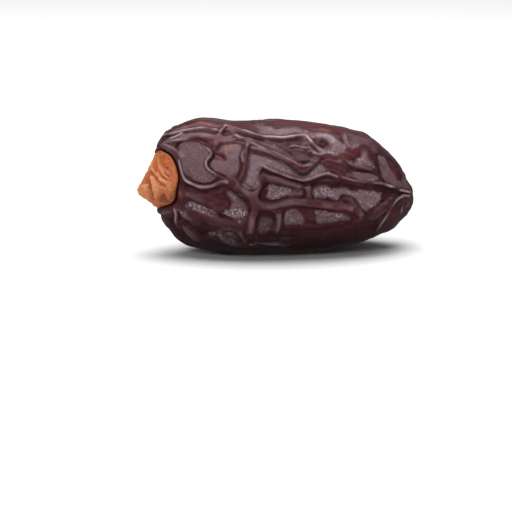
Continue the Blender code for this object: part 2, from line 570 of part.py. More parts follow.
def body_profiles():
    """Top, bottom and side radii over the angle along the body."""
    side_angles = [body_angle(STEM_POLE_U + distance) for distance, _ in SIDE_OUTLINE]
    side_radii = [radius for _, radius in SIDE_OUTLINE]
    return {
        "top": outline_radius(TOP_OUTLINE, 1),
        "bottom": outline_radius(BOTTOM_OUTLINE, -1),
        "side": smooth_profile(side_angles, side_radii),
    }


def profile_angles(share, profiles):
    """Angle along the body for a share of the way over its surface from pole to pole."""
    even = np.linspace(0.0, math.pi, len(profiles["side"]))
    u = -np.cos(even) * (APEX_POLE_U - STEM_POLE_U) / 2.0
    radius = (profiles["side"] * 2.0 + profiles["top"] + profiles["bottom"]) / 4.0
    travelled = np.concatenate([[0.0], np.cumsum(np.hypot(np.diff(u), np.diff(radius)))])
    return np.interp(share * travelled[-1], travelled, even)


def smooth_body(share, turn, profiles):
    """Points of the smooth body for the share from pole to pole and the turn round the axis."""
    angle = profile_angles(share, profiles)
    even = np.linspace(0.0, math.pi, len(profiles["side"]))
    upper = np.interp(angle, even, profiles["top"])
    lower = np.interp(angle, even, profiles["bottom"])
    side = np.interp(angle, even, profiles["side"])
    cosine = np.cos(turn)
    sine = np.sin(turn)
    fullness = (np.abs(cosine) ** SECTION_POWER + np.abs(sine) ** SECTION_POWER) ** (-1.0 / SECTION_POWER)
    tall = np.where(cosine > 0.0, upper, lower)
    middle = (STEM_POLE_U + APEX_POLE_U) / 2.0
    u = middle - np.cos(angle) * (APEX_POLE_U - STEM_POLE_U) / 2.0
    return from_body(u, side * fullness * sine, tall * fullness * cosine + AXIS_RAISE)


def block_mesh(cuts_along, cuts_round):
    """A cube cut into even squares, to be bent round a closed body."""
    mesh = bmesh.new()
    bmesh.ops.create_cube(mesh, size=2.0)
    lengthwise = [edge for edge in mesh.edges if abs(edge.verts[0].co.x - edge.verts[1].co.x) > 1.0]
    bmesh.ops.subdivide_edges(mesh, edges=lengthwise, cuts=cuts_along - 1, use_grid_fill=True)
    crosswise = [edge for edge in mesh.edges if abs(edge.verts[0].co.x - edge.verts[1].co.x) < 1e-4]
    bmesh.ops.subdivide_edges(mesh, edges=crosswise, cuts=cuts_round - 1, use_grid_fill=True)
    return mesh


def block_coordinates(mesh):
    """Place of every vertex on the cut cube."""
    return np.array([vertex.co[:] for vertex in mesh.verts], dtype=float)


def share_and_turn(cube):
    """Share of the way from pole to pole and turn round the axis for places on the cube."""
    x, y, z = cube[:, 0], cube[:, 1], cube[:, 2]
    far = np.maximum(np.abs(y), np.abs(z))
    share = np.where(
        far > 1.0 - 1e-5,
        CAP_SHARE + (x + 1.0) / 2.0 * (1.0 - 2.0 * CAP_SHARE),
        np.where(x < 0.0, CAP_SHARE * far, 1.0 - CAP_SHARE * far),
    )
    upright = np.abs(z) >= np.abs(y)
    safe_z = np.where(np.abs(z) < 1e-9, 1e-9, z)
    safe_y = np.where(np.abs(y) < 1e-9, 1e-9, y)
    by_height = math.pi / 4.0 * y / safe_z + np.where(z < 0.0, math.pi, 0.0)
    by_side = np.where(y > 0.0, math.pi / 2.0, -math.pi / 2.0) - math.pi / 4.0 * z / safe_y
    turn = np.where(upright, by_height, by_side)
    return share, turn - CROWDING * np.sin(turn - SHOWN_TURN)


def corner_indices(mesh):
    """Vertex numbers of every face, as triangles."""
    mesh.verts.index_update()
    corners = []
    for face in mesh.faces:
        ids = [vertex.index for vertex in face.verts]
        for k in range(1, len(ids) - 1):
            corners.append((ids[0], ids[k], ids[k + 1]))
    return np.array(corners)


def vertex_normals(points, corners):
    """Outward unit normal at every vertex."""
    a, b, c = points[corners[:, 0]], points[corners[:, 1]], points[corners[:, 2]]
    face_normals = np.cross(b - a, c - a)
    normals = np.zeros_like(points)
    for k in range(3):
        for axis in range(3):
            added = np.bincount(corners[:, k], weights=face_normals[:, axis], minlength=len(points))
            normals[:, axis] += added
    return normals / np.linalg.norm(normals, axis=1)[:, None]


def surface_tree(points, corners):
    """Search tree over a surface, for casting rays at it."""
    return BVHTree.FromPolygons([Vector(p) for p in points], [tuple(int(i) for i in c) for c in corners])


def cast_pixel(tree, pixel):
    """The place on a surface that is seen at a pixel, or the nearest place where the ray passes it by."""
    start = view_point()
    ray = view_ray(pixel)
    hit = tree.ray_cast(Vector(start), Vector(ray))[0]
    if hit is None:
        closest_way = -float(start @ ray)
        hit = tree.find_nearest(Vector(start + ray * closest_way))[0]
    return np.array(hit[:])


def smooth_path(pixels, rounds=2):
    """Corners of a line of pixels rounded off by cutting them."""
    path = [np.array(p, dtype=float) for p in pixels]
    for _ in range(rounds):
        cut = [path[0]]
        for first, second in zip(path[:-1], path[1:]):
            cut.append(first * 0.75 + second * 0.25)
            cut.append(first * 0.25 + second * 0.75)
        cut.append(path[-1])
        path = cut
    return path


def distance_to_path(points, path):
    """Distance of every point to a line of points, and how far along it the nearest place is."""
    path = np.array(path)
    steps = path[1:] - path[:-1]
    lengths = np.linalg.norm(steps, axis=1)
    before = np.concatenate([[0.0], np.cumsum(lengths)])[:-1]
    nearest = np.full(len(points), 1e9)
    along = np.zeros(len(points))
    for start, step, length, travelled in zip(path[:-1], steps, lengths, before):
        if length < 1e-6:
            continue
        share = np.clip(((points - start) @ step) / length ** 2, 0.0, 1.0)
        distance = np.linalg.norm(points - start - share[:, None] * step, axis=1)
        closer = distance < nearest
        nearest = np.where(closer, distance, nearest)
        along = np.where(closer, travelled + share * length, along)
    return nearest, along, lengths.sum()


def slant_share(tree, pixels):
    """How narrow a line on a surface looks against its real width, as the surface slants from the viewer."""
    shares = []
    for first, second in zip(pixels[:-1], pixels[1:]):
        ray = view_ray(first)
        place, normal = tree.ray_cast(Vector(view_point()), Vector(ray))[:2]
        if place is not None:
            across = np.cross(normal, cast_pixel(tree, second) - np.array(place[:]))
            across /= np.linalg.norm(across)
            shares.append(math.sqrt(max(0.0, 1.0 - float(across @ ray) ** 2)))
    return max(LEAST_SLANT, float(np.mean(shares))) if shares else 1.0


def line_profile(points, tree, width_px, pixels):
    """A rounded profile from 0 to 1 across a line of pixels, tapering to its ends."""
    path = [cast_pixel(tree, pixel) for pixel in smooth_path(pixels)]
    width = width_px / PX_PER_MM / slant_share(tree, pixels)
    reach = 0.95 * width
    low = np.min(path, axis=0) - reach
    high = np.max(path, axis=0) + reach
    near = np.nonzero(np.all((points > low) & (points < high), axis=1))[0]
    profile = np.zeros(len(points))
    if len(near) == 0:
        return profile
    distance, along, length = distance_to_path(points[near], path)
    taper = min(1.3 * width, 0.3 * length)
    ends = smoothstep(0.0, taper, along) * smoothstep(0.0, taper, length - along)
    across = np.clip(distance / reach, 0.0, 1.0)
    power = FLAT_POWER if width_px >= FLAT_FROM_PX else 2.0
    profile[near] = (1.0 - across ** power) ** 2 * (0.25 + 0.75 * ends)
    return profile


def near_outline(seen, outline, margin):
    """Whether seen places lie in the box round an outline, grown by a margin."""
    low = np.min(outline, axis=0) - margin
    high = np.max(outline, axis=0) + margin
    return np.all((seen > low) & (seen < high), axis=1)


def wandering(points, reach, size, seed):
    """Points moved a little to and fro, so that folds don't run as smooth as their lines."""
    return points + reach * np.stack([noise(points, size, seed + k) for k in range(3)], axis=1)


def outline_depth(seen, outline):
    """Distance in pixels inside a closed outline; negative outside."""
    corners = np.array(smooth_path(list(outline) + [outline[0]]))
    inside = np.zeros(len(seen), dtype=bool)
    nearest = np.full(len(seen), 1e9)
    for first, second in zip(corners, np.roll(corners, -1, axis=0)):
        step = second - first
        squared = float(step @ step)
        if squared < 1e-9:
            continue
        share = np.clip(((seen - first) @ step) / squared, 0.0, 1.0)
        nearest = np.minimum(nearest, np.linalg.norm(seen - first - share[:, None] * step, axis=1))
        crosses = (first[1] > seen[:, 1]) != (second[1] > seen[:, 1])
        rise = second[1] - first[1]
        if abs(rise) > 1e-9:
            at = first[0] + (seen[:, 1] - first[1]) / rise * step[0]
            inside ^= crosses & (seen[:, 0] < at)
    return np.where(inside, nearest, -nearest)


def seen_height(points, normals, tree):
    """Height of the folds that the view shows, in millimetres."""
    seen = to_pixels(points)
    facing = normals @ view_axes()[2] > SHOWN_FROM
    sunk = np.zeros(len(points))
    for name, (depth, slope, outline) in PANELS.items():
        near = np.nonzero(facing & near_outline(seen, outline, SHOULDER_PX))[0]
        if len(near):
            wobble = 0.5 * noise(points[near], 0.7, len(name))
            inside = outline_depth(seen[near], outline) + wobble
            wall = WALL_SHARE * smoothstep(-0.5 * slope, 0.5 * slope, inside)
            wall += (1.0 - WALL_SHARE) * smoothstep(-SHOULDER_PX, SHOULDER_INNER_PX, inside)
            sunk[near] = np.maximum(sunk[near], depth * wall)
    bent = wandering(points, 0.1, 1.6, SEED + 80)
    pressed = np.zeros(len(points))
    for width, depth, pixels in CREASES.values():
        pressed = np.maximum(pressed, depth * line_profile(bent, tree, max(width, NARROWEST_PX), pixels))
    raised = np.zeros(len(points))
    for width, height, pixels in RIDGES.values():
        raised += (height * line_profile(bent, tree, max(width, NARROWEST_PX), pixels)) ** 3
    uneven = 1.0 + 0.25 * noise(points, 2.2, SEED + 90)
    return np.cbrt(raised) * uneven - FIELD_STRENGTH * sunk - LINE_STRENGTH * pressed - SKIN_DROP


def spread_seeds(points, spacing, seed):
    """Places at least one spacing apart, taken in random order."""
    order = np.random.default_rng(seed).permutation(len(points))[:6000]
    chosen = []
    for index in order:
        place = points[index]
        if all(np.sum((place - other) ** 2) > spacing ** 2 for other in chosen):
            chosen.append(place)
    return np.array(chosen)


def nearest_seeds(points, seeds):
    """For every point, its nearest two seeds and the distances to them."""
    tree = KDTree(len(seeds))
    for index, seed in enumerate(seeds):
        tree.insert(Vector(seed), index)
    tree.balance()
    order = np.zeros((len(points), 2), dtype=int)
    apart = np.zeros((len(points), 2))
    for row, point in enumerate(points):
        for column, found in enumerate(tree.find_n(Vector(point), 2)):
            order[row, column] = found[1]
            apart[row, column] = found[2]
    return order, apart


def fold_network(points, sources, fields, seed):
    """Height of a network of folds with sunken fields between them."""
    stretch, spacing, height, step = fields
    along = body_axes()[0]
    wide_warp = np.stack([noise(points, 4.5, seed + k) for k in range(3)], axis=1)
    fine_warp = np.stack([noise(points, 1.7, seed + 10 + k) for k in range(3)], axis=1)
    bent = points + 1.7 * wide_warp + 0.45 * fine_warp
    squeezed = bent - np.outer(bent @ along, along) * (1.0 - 1.0 / stretch)
    seeds = sources - np.outer(sources @ along, along) * (1.0 - 1.0 / stretch)
    seeds = spread_seeds(seeds, spacing, seed)
    steps = np.random.default_rng(seed + 5).uniform(-1.0, 1.0, len(seeds))
    order, apart = nearest_seeds(squeezed, seeds)
    between = np.linalg.norm(seeds[order[:, 0]] - seeds[order[:, 1]], axis=1)
    edge = (apart[:, 1] ** 2 - apart[:, 0] ** 2) / (2.0 * between)
    strength = 0.15 + 0.85 * smoothstep(-0.4, 0.4, noise(points, 4.0, seed + 9))
    ridge = height * strength * np.exp(-(np.sqrt(edge ** 2 + 0.06) - 0.245) / 0.3)
    blend = smoothstep(0.0, 0.6, edge)
    level = steps[order].mean(axis=1) * (1.0 - blend) + steps[order[:, 0]] * blend
    return ridge + step * level


def wrinkles(points):
    """Shallow wrinkles that run along the fruit, about -1 to 1."""
    along = body_axes()[0]
    drawn_out = points - 0.68 * np.outer(points @ along, along)
    bent = wandering(drawn_out, 0.45, 1.5, SEED + 96)
    return 1.0 - 2.6 * np.abs(noise(bent, WRINKLE_SIZE, SEED + 95))


def hidden_height(points, sources, normals):
    """Height of the folds on the sides that the view doesn't show, calmer along the outline that it
    does show."""
    wide = fold_network(points, sources, WIDE_FIELDS, SEED)
    narrow = fold_network(points, sources, NARROW_FIELDS, SEED + 50)
    patches = smoothstep(-0.25, 0.35, noise(points, 6.0, SEED + 70))
    calm = 0.3 + 0.7 * smoothstep(0.1, -0.35, normals @ view_axes()[2])
    folds = calm * (wide + narrow * smoothstep(0.5, 0.1, wide) * patches)
    return folds + WRINKLE_HEIGHT * wrinkles(points) - SKIN_DROP


def cap_edge(tree):
    """Turn round the axis and distance from it along the dried cap's shown edge, from top to bottom."""
    along, aside, above = body_axes()
    places = np.array([cast_pixel(tree, pixel) for pixel in CAP_EDGE])
    v = places @ aside
    w = places @ above - CAP_MIDDLE_W
    turn = np.abs(np.arctan2(v, w))
    order = np.argsort(turn)
    return turn[order], np.hypot(v, w)[order]


def cap_reach(v, w, edge):
    """Distance of the dried cap's edge from the axis in the direction of v and w."""
    turn = np.arctan2(v, w - CAP_MIDDLE_W)
    reach = np.interp(np.abs(turn), *edge)
    hidden = 1.0 - (1.0 - CAP_BACK_SHARE) * smoothstep(0.0, 0.8, np.sin(turn + CAP_BACK_TURN))
    return reach * hidden + CAP_RAGGED * np.sin(9.0 * turn + 2.0)


def cap_crest(w):
    """How far out along the axis the dried cap's outline lies at a height."""
    cos_slope = math.cos(AXIS_SLOPE)
    sin_slope = math.sin(AXIS_SLOPE)
    stretch = PX_PER_MM * math.cos(VIEW_TURN)
    crest = []
    for x, y in CAP_OUTLINE:
        dx = x - FRUIT_MIDDLE[0]
        dy = y - FRUIT_MIDDLE[1]
        u = (dx * cos_slope + dy * sin_slope) / stretch
        crest.append(((dx * sin_slope - dy * cos_slope) / PX_PER_MM, u))
    crest.sort()
    return np.interp(w, [height for height, _ in crest], [u for _, u in crest])


def dish_height(points, edge):
    """Shallow dish under the dried cap, with the skin's raised lip around it; and where it rules."""
    along, aside, above = body_axes()
    u = points @ along
    v = points @ aside
    w = points @ above
    ratio = np.hypot(v, w - CAP_MIDDLE_W) / cap_reach(v, w, edge)
    at_stem = u < 0.0
    lip = LIP_HEIGHT * np.exp(-((ratio - LIP_PLACE) / LIP_WIDTH) ** 2)
    height = -DISH_DEPTH * smoothstep(DISH_WALL, 1.0, ratio) + lip
    rules = smoothstep(DISH_RULES_FROM, DISH_RULES_FULLY, ratio) * at_stem
    return height * at_stem, rules


def fruit_surface(cuts_along, cuts_round):
    """The wrinkled fruit: its mesh, its points in millimetres and the smooth body's search tree."""
    mesh = block_mesh(cuts_along, cuts_round)
    share, turn = share_and_turn(block_coordinates(mesh))
    points = smooth_body(share, turn, body_profiles())
    corners = corner_indices(mesh)
    normals = vertex_normals(points, corners)
    if np.sum(normals * points) < 0.0:
        bmesh.ops.reverse_faces(mesh, faces=mesh.faces)
        corners = corners[:, ::-1]
        normals = -normals
    tree = surface_tree(points, corners)
    shown = smoothstep(SHOWN_FROM, SHOWN_FULLY, normals @ view_axes()[2])
    folds = shown * seen_height(points, normals, tree)
    folds += (1.0 - shown) * hidden_height(points, points[::7], normals)
    folds += SWELL_HEIGHT * noise(points, SWELL_SIZE, SEED + 20)
    dish, rules = dish_height(points, cap_edge(tree))
    folds = folds * (1.0 - rules) + dish
    lowness = smoothstep(REST_CALM, REST_TRIM, points[:, 2] - points[:, 2].min())
    folds *= 1.0 - REST_CALMING * lowness
    return mesh, points + normals * folds[:, None], tree


def cap_surface(cuts, tree):
    """The dried cap: its mesh and its points in millimetres."""
    mesh = block_mesh(cuts, cuts)
    cube = block_coordinates(mesh)
    warped = np.tan(cube * math.pi / 4.0)
    ball = warped / np.linalg.norm(warped, axis=1)[:, None]
    along, aside, above = body_axes()
    edge = cap_edge(tree)
    sideways = np.hypot(ball[:, 1], ball[:, 2])
    angle = np.arctan2(sideways, -ball[:, 0])
    spread = np.where(angle < math.pi / 2.0, angle / (math.pi / 2.0), (math.pi - angle) / (math.pi / 2.0))
    ratio = np.sin(spread * math.pi / 2.0) ** 0.85
    direction_v = ball[:, 1] / np.maximum(sideways, 1e-9)
    direction_w = ball[:, 2] / np.maximum(sideways, 1e-9)
    reach = cap_reach(direction_v, direction_w + CAP_MIDDLE_W, edge)
    v = ratio * reach * direction_v
    w = ratio * reach * direction_w + CAP_MIDDLE_W
    seats = seat_on(tree, v, w)
    middle_seats = seat_on(tree, np.zeros(len(w)), w)
    outward = seats - from_body([-10.0], [0.0], [0.0])
    outward /= np.linalg.norm(outward, axis=1)[:, None]
    rise = np.maximum((middle_seats @ along) - cap_crest(w) + DISH_DEPTH - CAP_GAP, CAP_RIM)
    upright_reach = np.where(direction_w > 0.0, edge[1][0], edge[1][-1])
    height_share = np.clip(np.abs(w - CAP_MIDDLE_W) / upright_reach, 0.0, 0.999)
    aside_share = np.sqrt(np.clip(ratio ** 2 - height_share ** 2, 0.0, 1.0) / (1.0 - height_share ** 2))
    tent = 1.0 - np.clip(aside_share, 0.0, 1.0) ** np.where(v < 0.0, CAP_FRONT_CURVE, CAP_BACK_CURVE)
    round_edge = np.sqrt(np.clip(1.0 - spread ** 8, 0.0, 1.0))
    outer = angle < math.pi / 2.0
    underside = -DISH_DEPTH + CAP_GAP
    thickness = (CAP_RIM + (rise - CAP_RIM) * tent) * round_edge
    lean = (tent * round_edge)[:, None]
    outer_way = outward * (1.0 - lean) - along * lean
    outer_way /= np.linalg.norm(outer_way, axis=1)[:, None]
    base = seats + outward * underside
    smooth = np.where(outer[:, None], base + outer_way * thickness[:, None], base)
    relief = cap_relief(smooth, corner_indices(mesh)) * round_edge
    relief = np.maximum(relief, CAP_LEAST * round_edge - thickness)
    return mesh, np.where(outer[:, None], smooth + outer_way * relief[:, None], base)


def seat_on(tree, v, w):
    """The places on the smooth body at v and w on its stem end."""
    along = Vector(body_axes()[0])
    seats = [tree.ray_cast(Vector(place), along)[0][:] for place in from_body(np.full(len(v), -60.0), v, w)]
    return np.array(seats)


def cap_relief(points, corners):
    """Height of the folds and dents of the dried cap."""
    tree = surface_tree(points, corners)
    bent = wandering(points, 0.12, 1.1, SEED + 60)
    relief = CAP_CRUMPLE * crumple(points)
    for width, height, pixels in CAP_RIDGES.values():
        relief += height * line_profile(bent, tree, width, pixels)
    for width, depth, pixels in CAP_CREASES.values():
        relief -= depth * line_profile(bent, tree, width, pixels)
    return relief


def crumple(points):
    """Folded paper-like relief of the dried cap, about -1 to 1."""
    bent = points + 0.7 * np.stack([noise(points, 2.6, SEED + 30 + k) for k in range(3)], axis=1)
    sharp = 1.0 - 2.0 * np.abs(noise(bent, 2.2, SEED + 35))
    small = 1.0 - 2.0 * np.abs(noise(bent, 1.1, SEED + 36))
    fine = 1.0 - 2.0 * np.abs(noise(bent, 0.55, SEED + 37))
    return 0.35 * sharp + 0.38 * small + 0.27 * fine


def write_back(mesh, points):
    """Give the mesh its points, in metres."""
    for vertex, point in zip(mesh.verts, points):
        vertex.co = Vector(point) * METRE


def add_object(name, mesh, material):
    """Turn a mesh into a named, smoothly shaded object."""
    bmesh.ops.recalc_face_normals(mesh, faces=mesh.faces)
    data = bpy.data.meshes.new(name)
    mesh.to_mesh(data)
    mesh.free()
    data.materials.append(material)
    data.polygons.foreach_set("use_smooth", [True] * len(data.polygons))
    item = bpy.data.objects.new(name, data)
    bpy.context.scene.collection.objects.link(item)
    return item


def thin_out(item, triangles):
    """Reduce an object to about so many triangles, keeping more of them where it is folded."""
    count = sum(len(polygon.vertices) - 2 for polygon in item.data.polygons)
    fewer = item.modifiers.new("fewer faces", "DECIMATE")
    fewer.decimate_type = "COLLAPSE"
    fewer.ratio = triangles / count
    fewer.use_collapse_triangulate = True
    thinned = bpy.data.meshes.new_from_object(item.evaluated_get(bpy.context.evaluated_depsgraph_get()))
    item.modifiers.clear()
    item.data = thinned


def level_spot(item):
    """Bring the flat spot's vertices exactly to the ground."""
    for vertex in item.data.vertices:
        if vertex.co.z < REST_LEVEL * METRE:
            vertex.co.z = 0.0


def plain_material(name, colour, roughness):
    """A plain material for one sub-part."""
    material = bpy.data.materials.new(name)
    material.use_nodes = True
    shader = material.node_tree.nodes["Principled BSDF"]
    shader.inputs["Base Color"].default_value = (*colour, 1.0)
    shader.inputs["Roughness"].default_value = roughness
    return material


def placement(fruit_points, cap_points):
    """Shift that puts the bottom middle of the trimmed whole at the origin."""
    both = np.vstack([fruit_points, cap_points])
    low = both.min(axis=0)
    high = both.max(axis=0)
    return np.array([-(low[0] + high[0]) / 2.0, -(low[1] + high[1]) / 2.0, -low[2] - REST_TRIM])


def build():
    """Make the fruit and its dried cap."""
    fruit_mesh, fruit_points, tree = fruit_surface(CUTS_ALONG, CUTS_ROUND)
    cap_mesh, cap_points = cap_surface(CAP_CUTS, tree)
    shift = placement(fruit_points, cap_points)
    fruit_points = fruit_points + shift
    fruit_points[:, 2] = np.maximum(fruit_points[:, 2], 0.0)
    write_back(fruit_mesh, fruit_points)
    write_back(cap_mesh, cap_points + shift)
    skin = plain_material("date skin", (0.045, 0.012, 0.014), 0.35)
    husk = plain_material("dried cap", (0.5, 0.2, 0.07), 0.7)
    fruit = add_object("fruit", fruit_mesh, skin)
    thin_out(fruit, FRUIT_TRIANGLES)
    level_spot(fruit)
    thin_out(add_object("calyx", cap_mesh, husk), CAP_TRIANGLES)


remove_everything()
build()
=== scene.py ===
"""Finishes and studio for a dried date: the wrinkled fruit and its dried cap, in fine detail.

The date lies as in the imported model. Both pieces are shaped again from the same named values and
folds as the model, with many more faces, and get their finishes here.
"""

import math

import bmesh
import bpy
import numpy as np
from mathutils import Matrix, Vector
from mathutils.bvhtree import BVHTree
from mathutils.kdtree import KDTree


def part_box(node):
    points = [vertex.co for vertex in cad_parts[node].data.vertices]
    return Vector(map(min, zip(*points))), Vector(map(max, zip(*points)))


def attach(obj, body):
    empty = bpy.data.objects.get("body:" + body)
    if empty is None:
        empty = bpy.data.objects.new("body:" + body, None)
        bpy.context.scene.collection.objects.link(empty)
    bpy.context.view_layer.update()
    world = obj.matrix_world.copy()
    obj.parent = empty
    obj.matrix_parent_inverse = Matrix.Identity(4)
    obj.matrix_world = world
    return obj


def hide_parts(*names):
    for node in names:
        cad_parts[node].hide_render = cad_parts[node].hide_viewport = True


METRE = 0.001
SEED = 41

# The view the folds and the outline were read in
PX_PER_MM = 6.0
VIEW_TURN = math.radians(-10.0)
VIEW_RISE = math.radians(12.0)
VIEW_DISTANCE = 320.0
VIEW_MIDDLE = (256.0, 256.0)
FRUIT_MIDDLE = (275.0, 186.0)
AXIS_SLOPE = math.radians(4.47)
AXIS_FALL = math.radians(6.5)

# The smooth body
STEM_POLE_U = -20.5
APEX_POLE_U = 23.85
AXIS_RAISE = -0.2
SECTION_POWER = 2.2
TOP_OUTLINE = [
    (156, 149.2), (158.1, 146), (160.5, 139.7), (163.4, 133.8), (167.2, 131), (172, 128.7), (181, 125.6),
    (190.5, 120.6), (200, 118.5), (210, 118.5), (220, 119.5), (230, 121.2), (240, 120.9), (262, 119.8),
    (280, 119.7), (300, 121), (320, 120.7), (340, 124.6), (352, 128.2), (367, 132), (378, 140),
    (388, 150), (398.5, 161), (405.6, 174.4), (410.8, 184.2), (414.1, 190.5),
]
BOTTOM_OUTLINE = [
    (157, 205.5), (160.3, 211.5), (166.5, 224.5), (174.5, 236.5), (186, 244.2), (199, 249.3), (216, 252.4),
    (243, 254.6), (262, 254.4), (285, 253.7), (310, 252.4), (340, 247.5), (365, 241.8), (388, 230.5),
    (400.5, 222.5), (409.2, 213.9), (413.7, 206.5),
]
# Distance from the stem pole along the fruit, and half of the depth there
SIDE_OUTLINE = [
    (0.5, 2.1), (1.5, 3.6), (3.7, 5.4), (6.5, 7.4), (10.0, 9.3), (15.0, 10.8), (20.0, 11.3), (25.0, 11.3),
    (30.0, 10.8), (35.0, 9.4), (38.5, 7.6), (41.0, 5.6), (43.0, 3.2), (44.0, 1.5),
]
CAP_SHARE = 0.14

# How finely the smooth body is cut, here and in the model, which way its shown side faces round the
# axis, how much closer the cuts lie there, and how many of the model's points can seed a field
FINE_ALONG = 282
FINE_ROUND = 74
MODEL_ALONG = 130
MODEL_ROUND = 68
SHOWN_TURN = math.radians(-79.0)
CROWDING = 0.42
SEEDING_STEP = 7
SEEDING_POINTS = 6000

# How far the skin lies below its outline between the folds, how steeply it must face the viewer for a
# fold to be read there, and how strongly the sunken fields and the pressed lines show
SKIN_DROP = 0.2
SHOWN_FROM = 0.02
SHOWN_FULLY = 0.3
FIELD_STRENGTH = 0.9
LINE_STRENGTH = 0.8

# The sunken fields' edge: how wide it is rounded outside and inside its wall, the wall's share of the
# depth, how far it wavers, and where and how wide its line of painted shade runs
SHOULDER_PX = 3.5
SHOULDER_INNER_PX = 1.5
WALL_SHARE = 0.8
WAVER_PX = 0.5
WAVER_SIZE = 0.7
EDGE_LINE_OUT_PX = 0.2
EDGE_LINE_PX = 0.45
EDGE_LINE_SPREAD = 0.2

# A fold's line: how narrow a slanting one is taken to look at least, from which width on its top is flat
# and how flat, how far it reaches against its width, how it tapers to its ends, how low it gets there,
# how far and over which size it wanders, and how unevenly high it is
LEAST_SLANT = 0.5
FLAT_FROM_PX = 4.0
FLAT_POWER = 4.0
ROUND_POWER = 2.0
LINE_REACH = 0.95
END_TAPER = 1.3
LONGEST_TAPER = 0.3
END_HEIGHT = 0.25
LINE_WANDER = 0.1
WANDER_SIZE = 1.6
UNEVEN_SHARE = 0.25
UNEVEN_SIZE = 2.2

# Height and width of the broad swells, the shallow wrinkles, the fine wrinkles and the pebbled skin
SWELL_HEIGHT = 0.12
SWELL_SIZE = 3.0
WRINKLE_HEIGHT = 0.1
WRINKLE_SIZE = 1.7
FINE_HEIGHT = 0.03
FINE_SIZE = 0.55
PEBBLE_HEIGHT = 0.035
PEBBLE_SIZES = (0.42, 0.8)

# How strong the painted highlight along the crests of some folds is, and how thin its lines
CREST_HIGHLIGHTS = {
    "lip fold a": 1.3, "lip fold b": 1.0, "lip fold c": 0.9, "collar": 1.2, "panel one rim": 0.9,
    "panel two right rim": 0.8, "shoulder cross fold": 0.8, "long upper": 1.25, "long upper left": 1.0,
    "upper glint": 0.8, "second upper": 0.5, "third upper": 0.3, "stripe low": 0.3, "boomerang rim": 0.9,
    "small crook": 0.9, "top swell": 0.6, "right soft a": 0.6, "bright bend": 1.2, "right upright": 0.35,
    "right hook": 0.35,
    "apex upper": 1.2, "apex upper left": 0.6, "apex lower": 1.0, "apex short": 0.9, "apex short b": 0.6,
    "under cap": 0.9, "lower belly left": 0.6, "lower belly middle": 0.6, "lower belly tie": 0.5,
    "middle band low": 0.1, "basin rim": 0.35, "lower middle": 0.3, "basin end": 0.3, "long middle": 0.2,
    "round rim right": 0.3, "wide panel end": 0.25,
}
HIGHLIGHT_SHARPNESS = 0.45
LEAST_SHARPNESS = 4.0

# The flat spot it rests on: how much is trimmed off, and up to where and how much the folds are calmed
REST_TRIM = 0.42
REST_CALM = 1.2
REST_CALMED = 0.85

# The dried cap: where its edge lies on the fruit, and its outer outline
CAP_EDGE = [
    (157.3, 153.3), (159.5, 149.5), (164, 151.5), (168.5, 155.2), (172, 160), (174.8, 164.8),
    (176.3, 168.5), (176.6, 174), (176.2, 182), (175.6, 190), (174.6, 196.5), (172.8, 200.8),
    (169.5, 203.8), (165, 206), (160, 206.8),
]
CAP_OUTLINE = [
    (160.5, 151.5), (157.5, 154.5), (154.5, 159.5), (151.7, 166), (148.6, 173), (146.4, 177), (144, 183),
    (142.3, 187.5), (141, 191), (140.3, 194), (141.8, 197), (146, 199.3), (152, 203.3), (158, 207),
]
# The dried cap's middle, how far its hidden side reaches against the shown one and from which turn on,
# how ragged its edge is, how its height falls towards its sides, how its squares spread from the middle,
# where its faces lean away from, from where its seat is looked for, how thick its edge is, how crumpled
# it is, and how finely it is cut
CAP_MIDDLE_W = -0.1
CAP_BACK_SHARE = 0.68
CAP_BACK_TURN = 0.25
CAP_RAGGED = 0.06
CAP_FRONT_CURVE = 1.5
CAP_BACK_CURVE = 2.2
CAP_SPREAD = 0.85
CAP_LEAN_U = -10.0
OUTSIDE_U = -60.0
CAP_RIM = 0.32
CAP_CRUMPLE = 0.32
FINE_CAP = 84

# The dish under the cap and the skin's lip around it, as shares of the way to the cap's edge, and the gap
# between the cap and the dish
DISH_DEPTH = 0.55
DISH_WALL = 1.09
LIP_PLACE = 1.17
LIP_WIDTH = 0.07
LIP_HEIGHT = 0.28
DISH_RULES = (1.32, 1.12)
CAP_GAP = 0.3

# How ragged the edges of the bloom and of the glints and sheen painted in its colour are, against their
# softness
RAGGED_BLOOM = 0.7

# Over how many faces a place is held against its surroundings, from which depth on it gets painted shade and
# from which height on a pale painted highlight; and between which heights painted shade darkens the skin
# towards the underside
CAVITY_ROUNDS = 10
CAVITY_DEPTHS = (-0.016, -0.085)
HIGHLIGHT_HEIGHTS = (0.02, 0.09)
UNDERSIDE_LOW = 1.0
UNDERSIDE_TOP = 8.6
UNDERSIDE_SHADE = 0.85

# The camera: width of its sensor and of the view's picture
SENSOR_MM = 36.0
FRAME_PX = 512.0

# Colours of the bare skin, its streaks and folds, then of the bloom and its grains, the bright grains partly
# painted glints, the painted highlight on the crests, and the spots
SKIN = {
    "deep": (0.036, 0.0062, 0.0086),
    "maroon": (0.066, 0.0108, 0.0138),
    "mottle": (0.075, 0.020, 0.024),
    "pale streak": (0.110, 0.048, 0.054),
    "dark streak": (0.020, 0.004, 0.006),
    "fold": (0.092, 0.030, 0.034),
    "red": (0.135, 0.012, 0.017),
    "veil": (0.210, 0.131, 0.150),
    "slate veil": (0.185, 0.145, 0.150),
    "haze": (0.33, 0.23, 0.25),
    "dark grain": (0.030, 0.010, 0.014),
    "bright grain": (0.54, 0.43, 0.47),
    "pale crest": (0.400, 0.300, 0.315),
    "orange": (0.42, 0.135, 0.050),
}
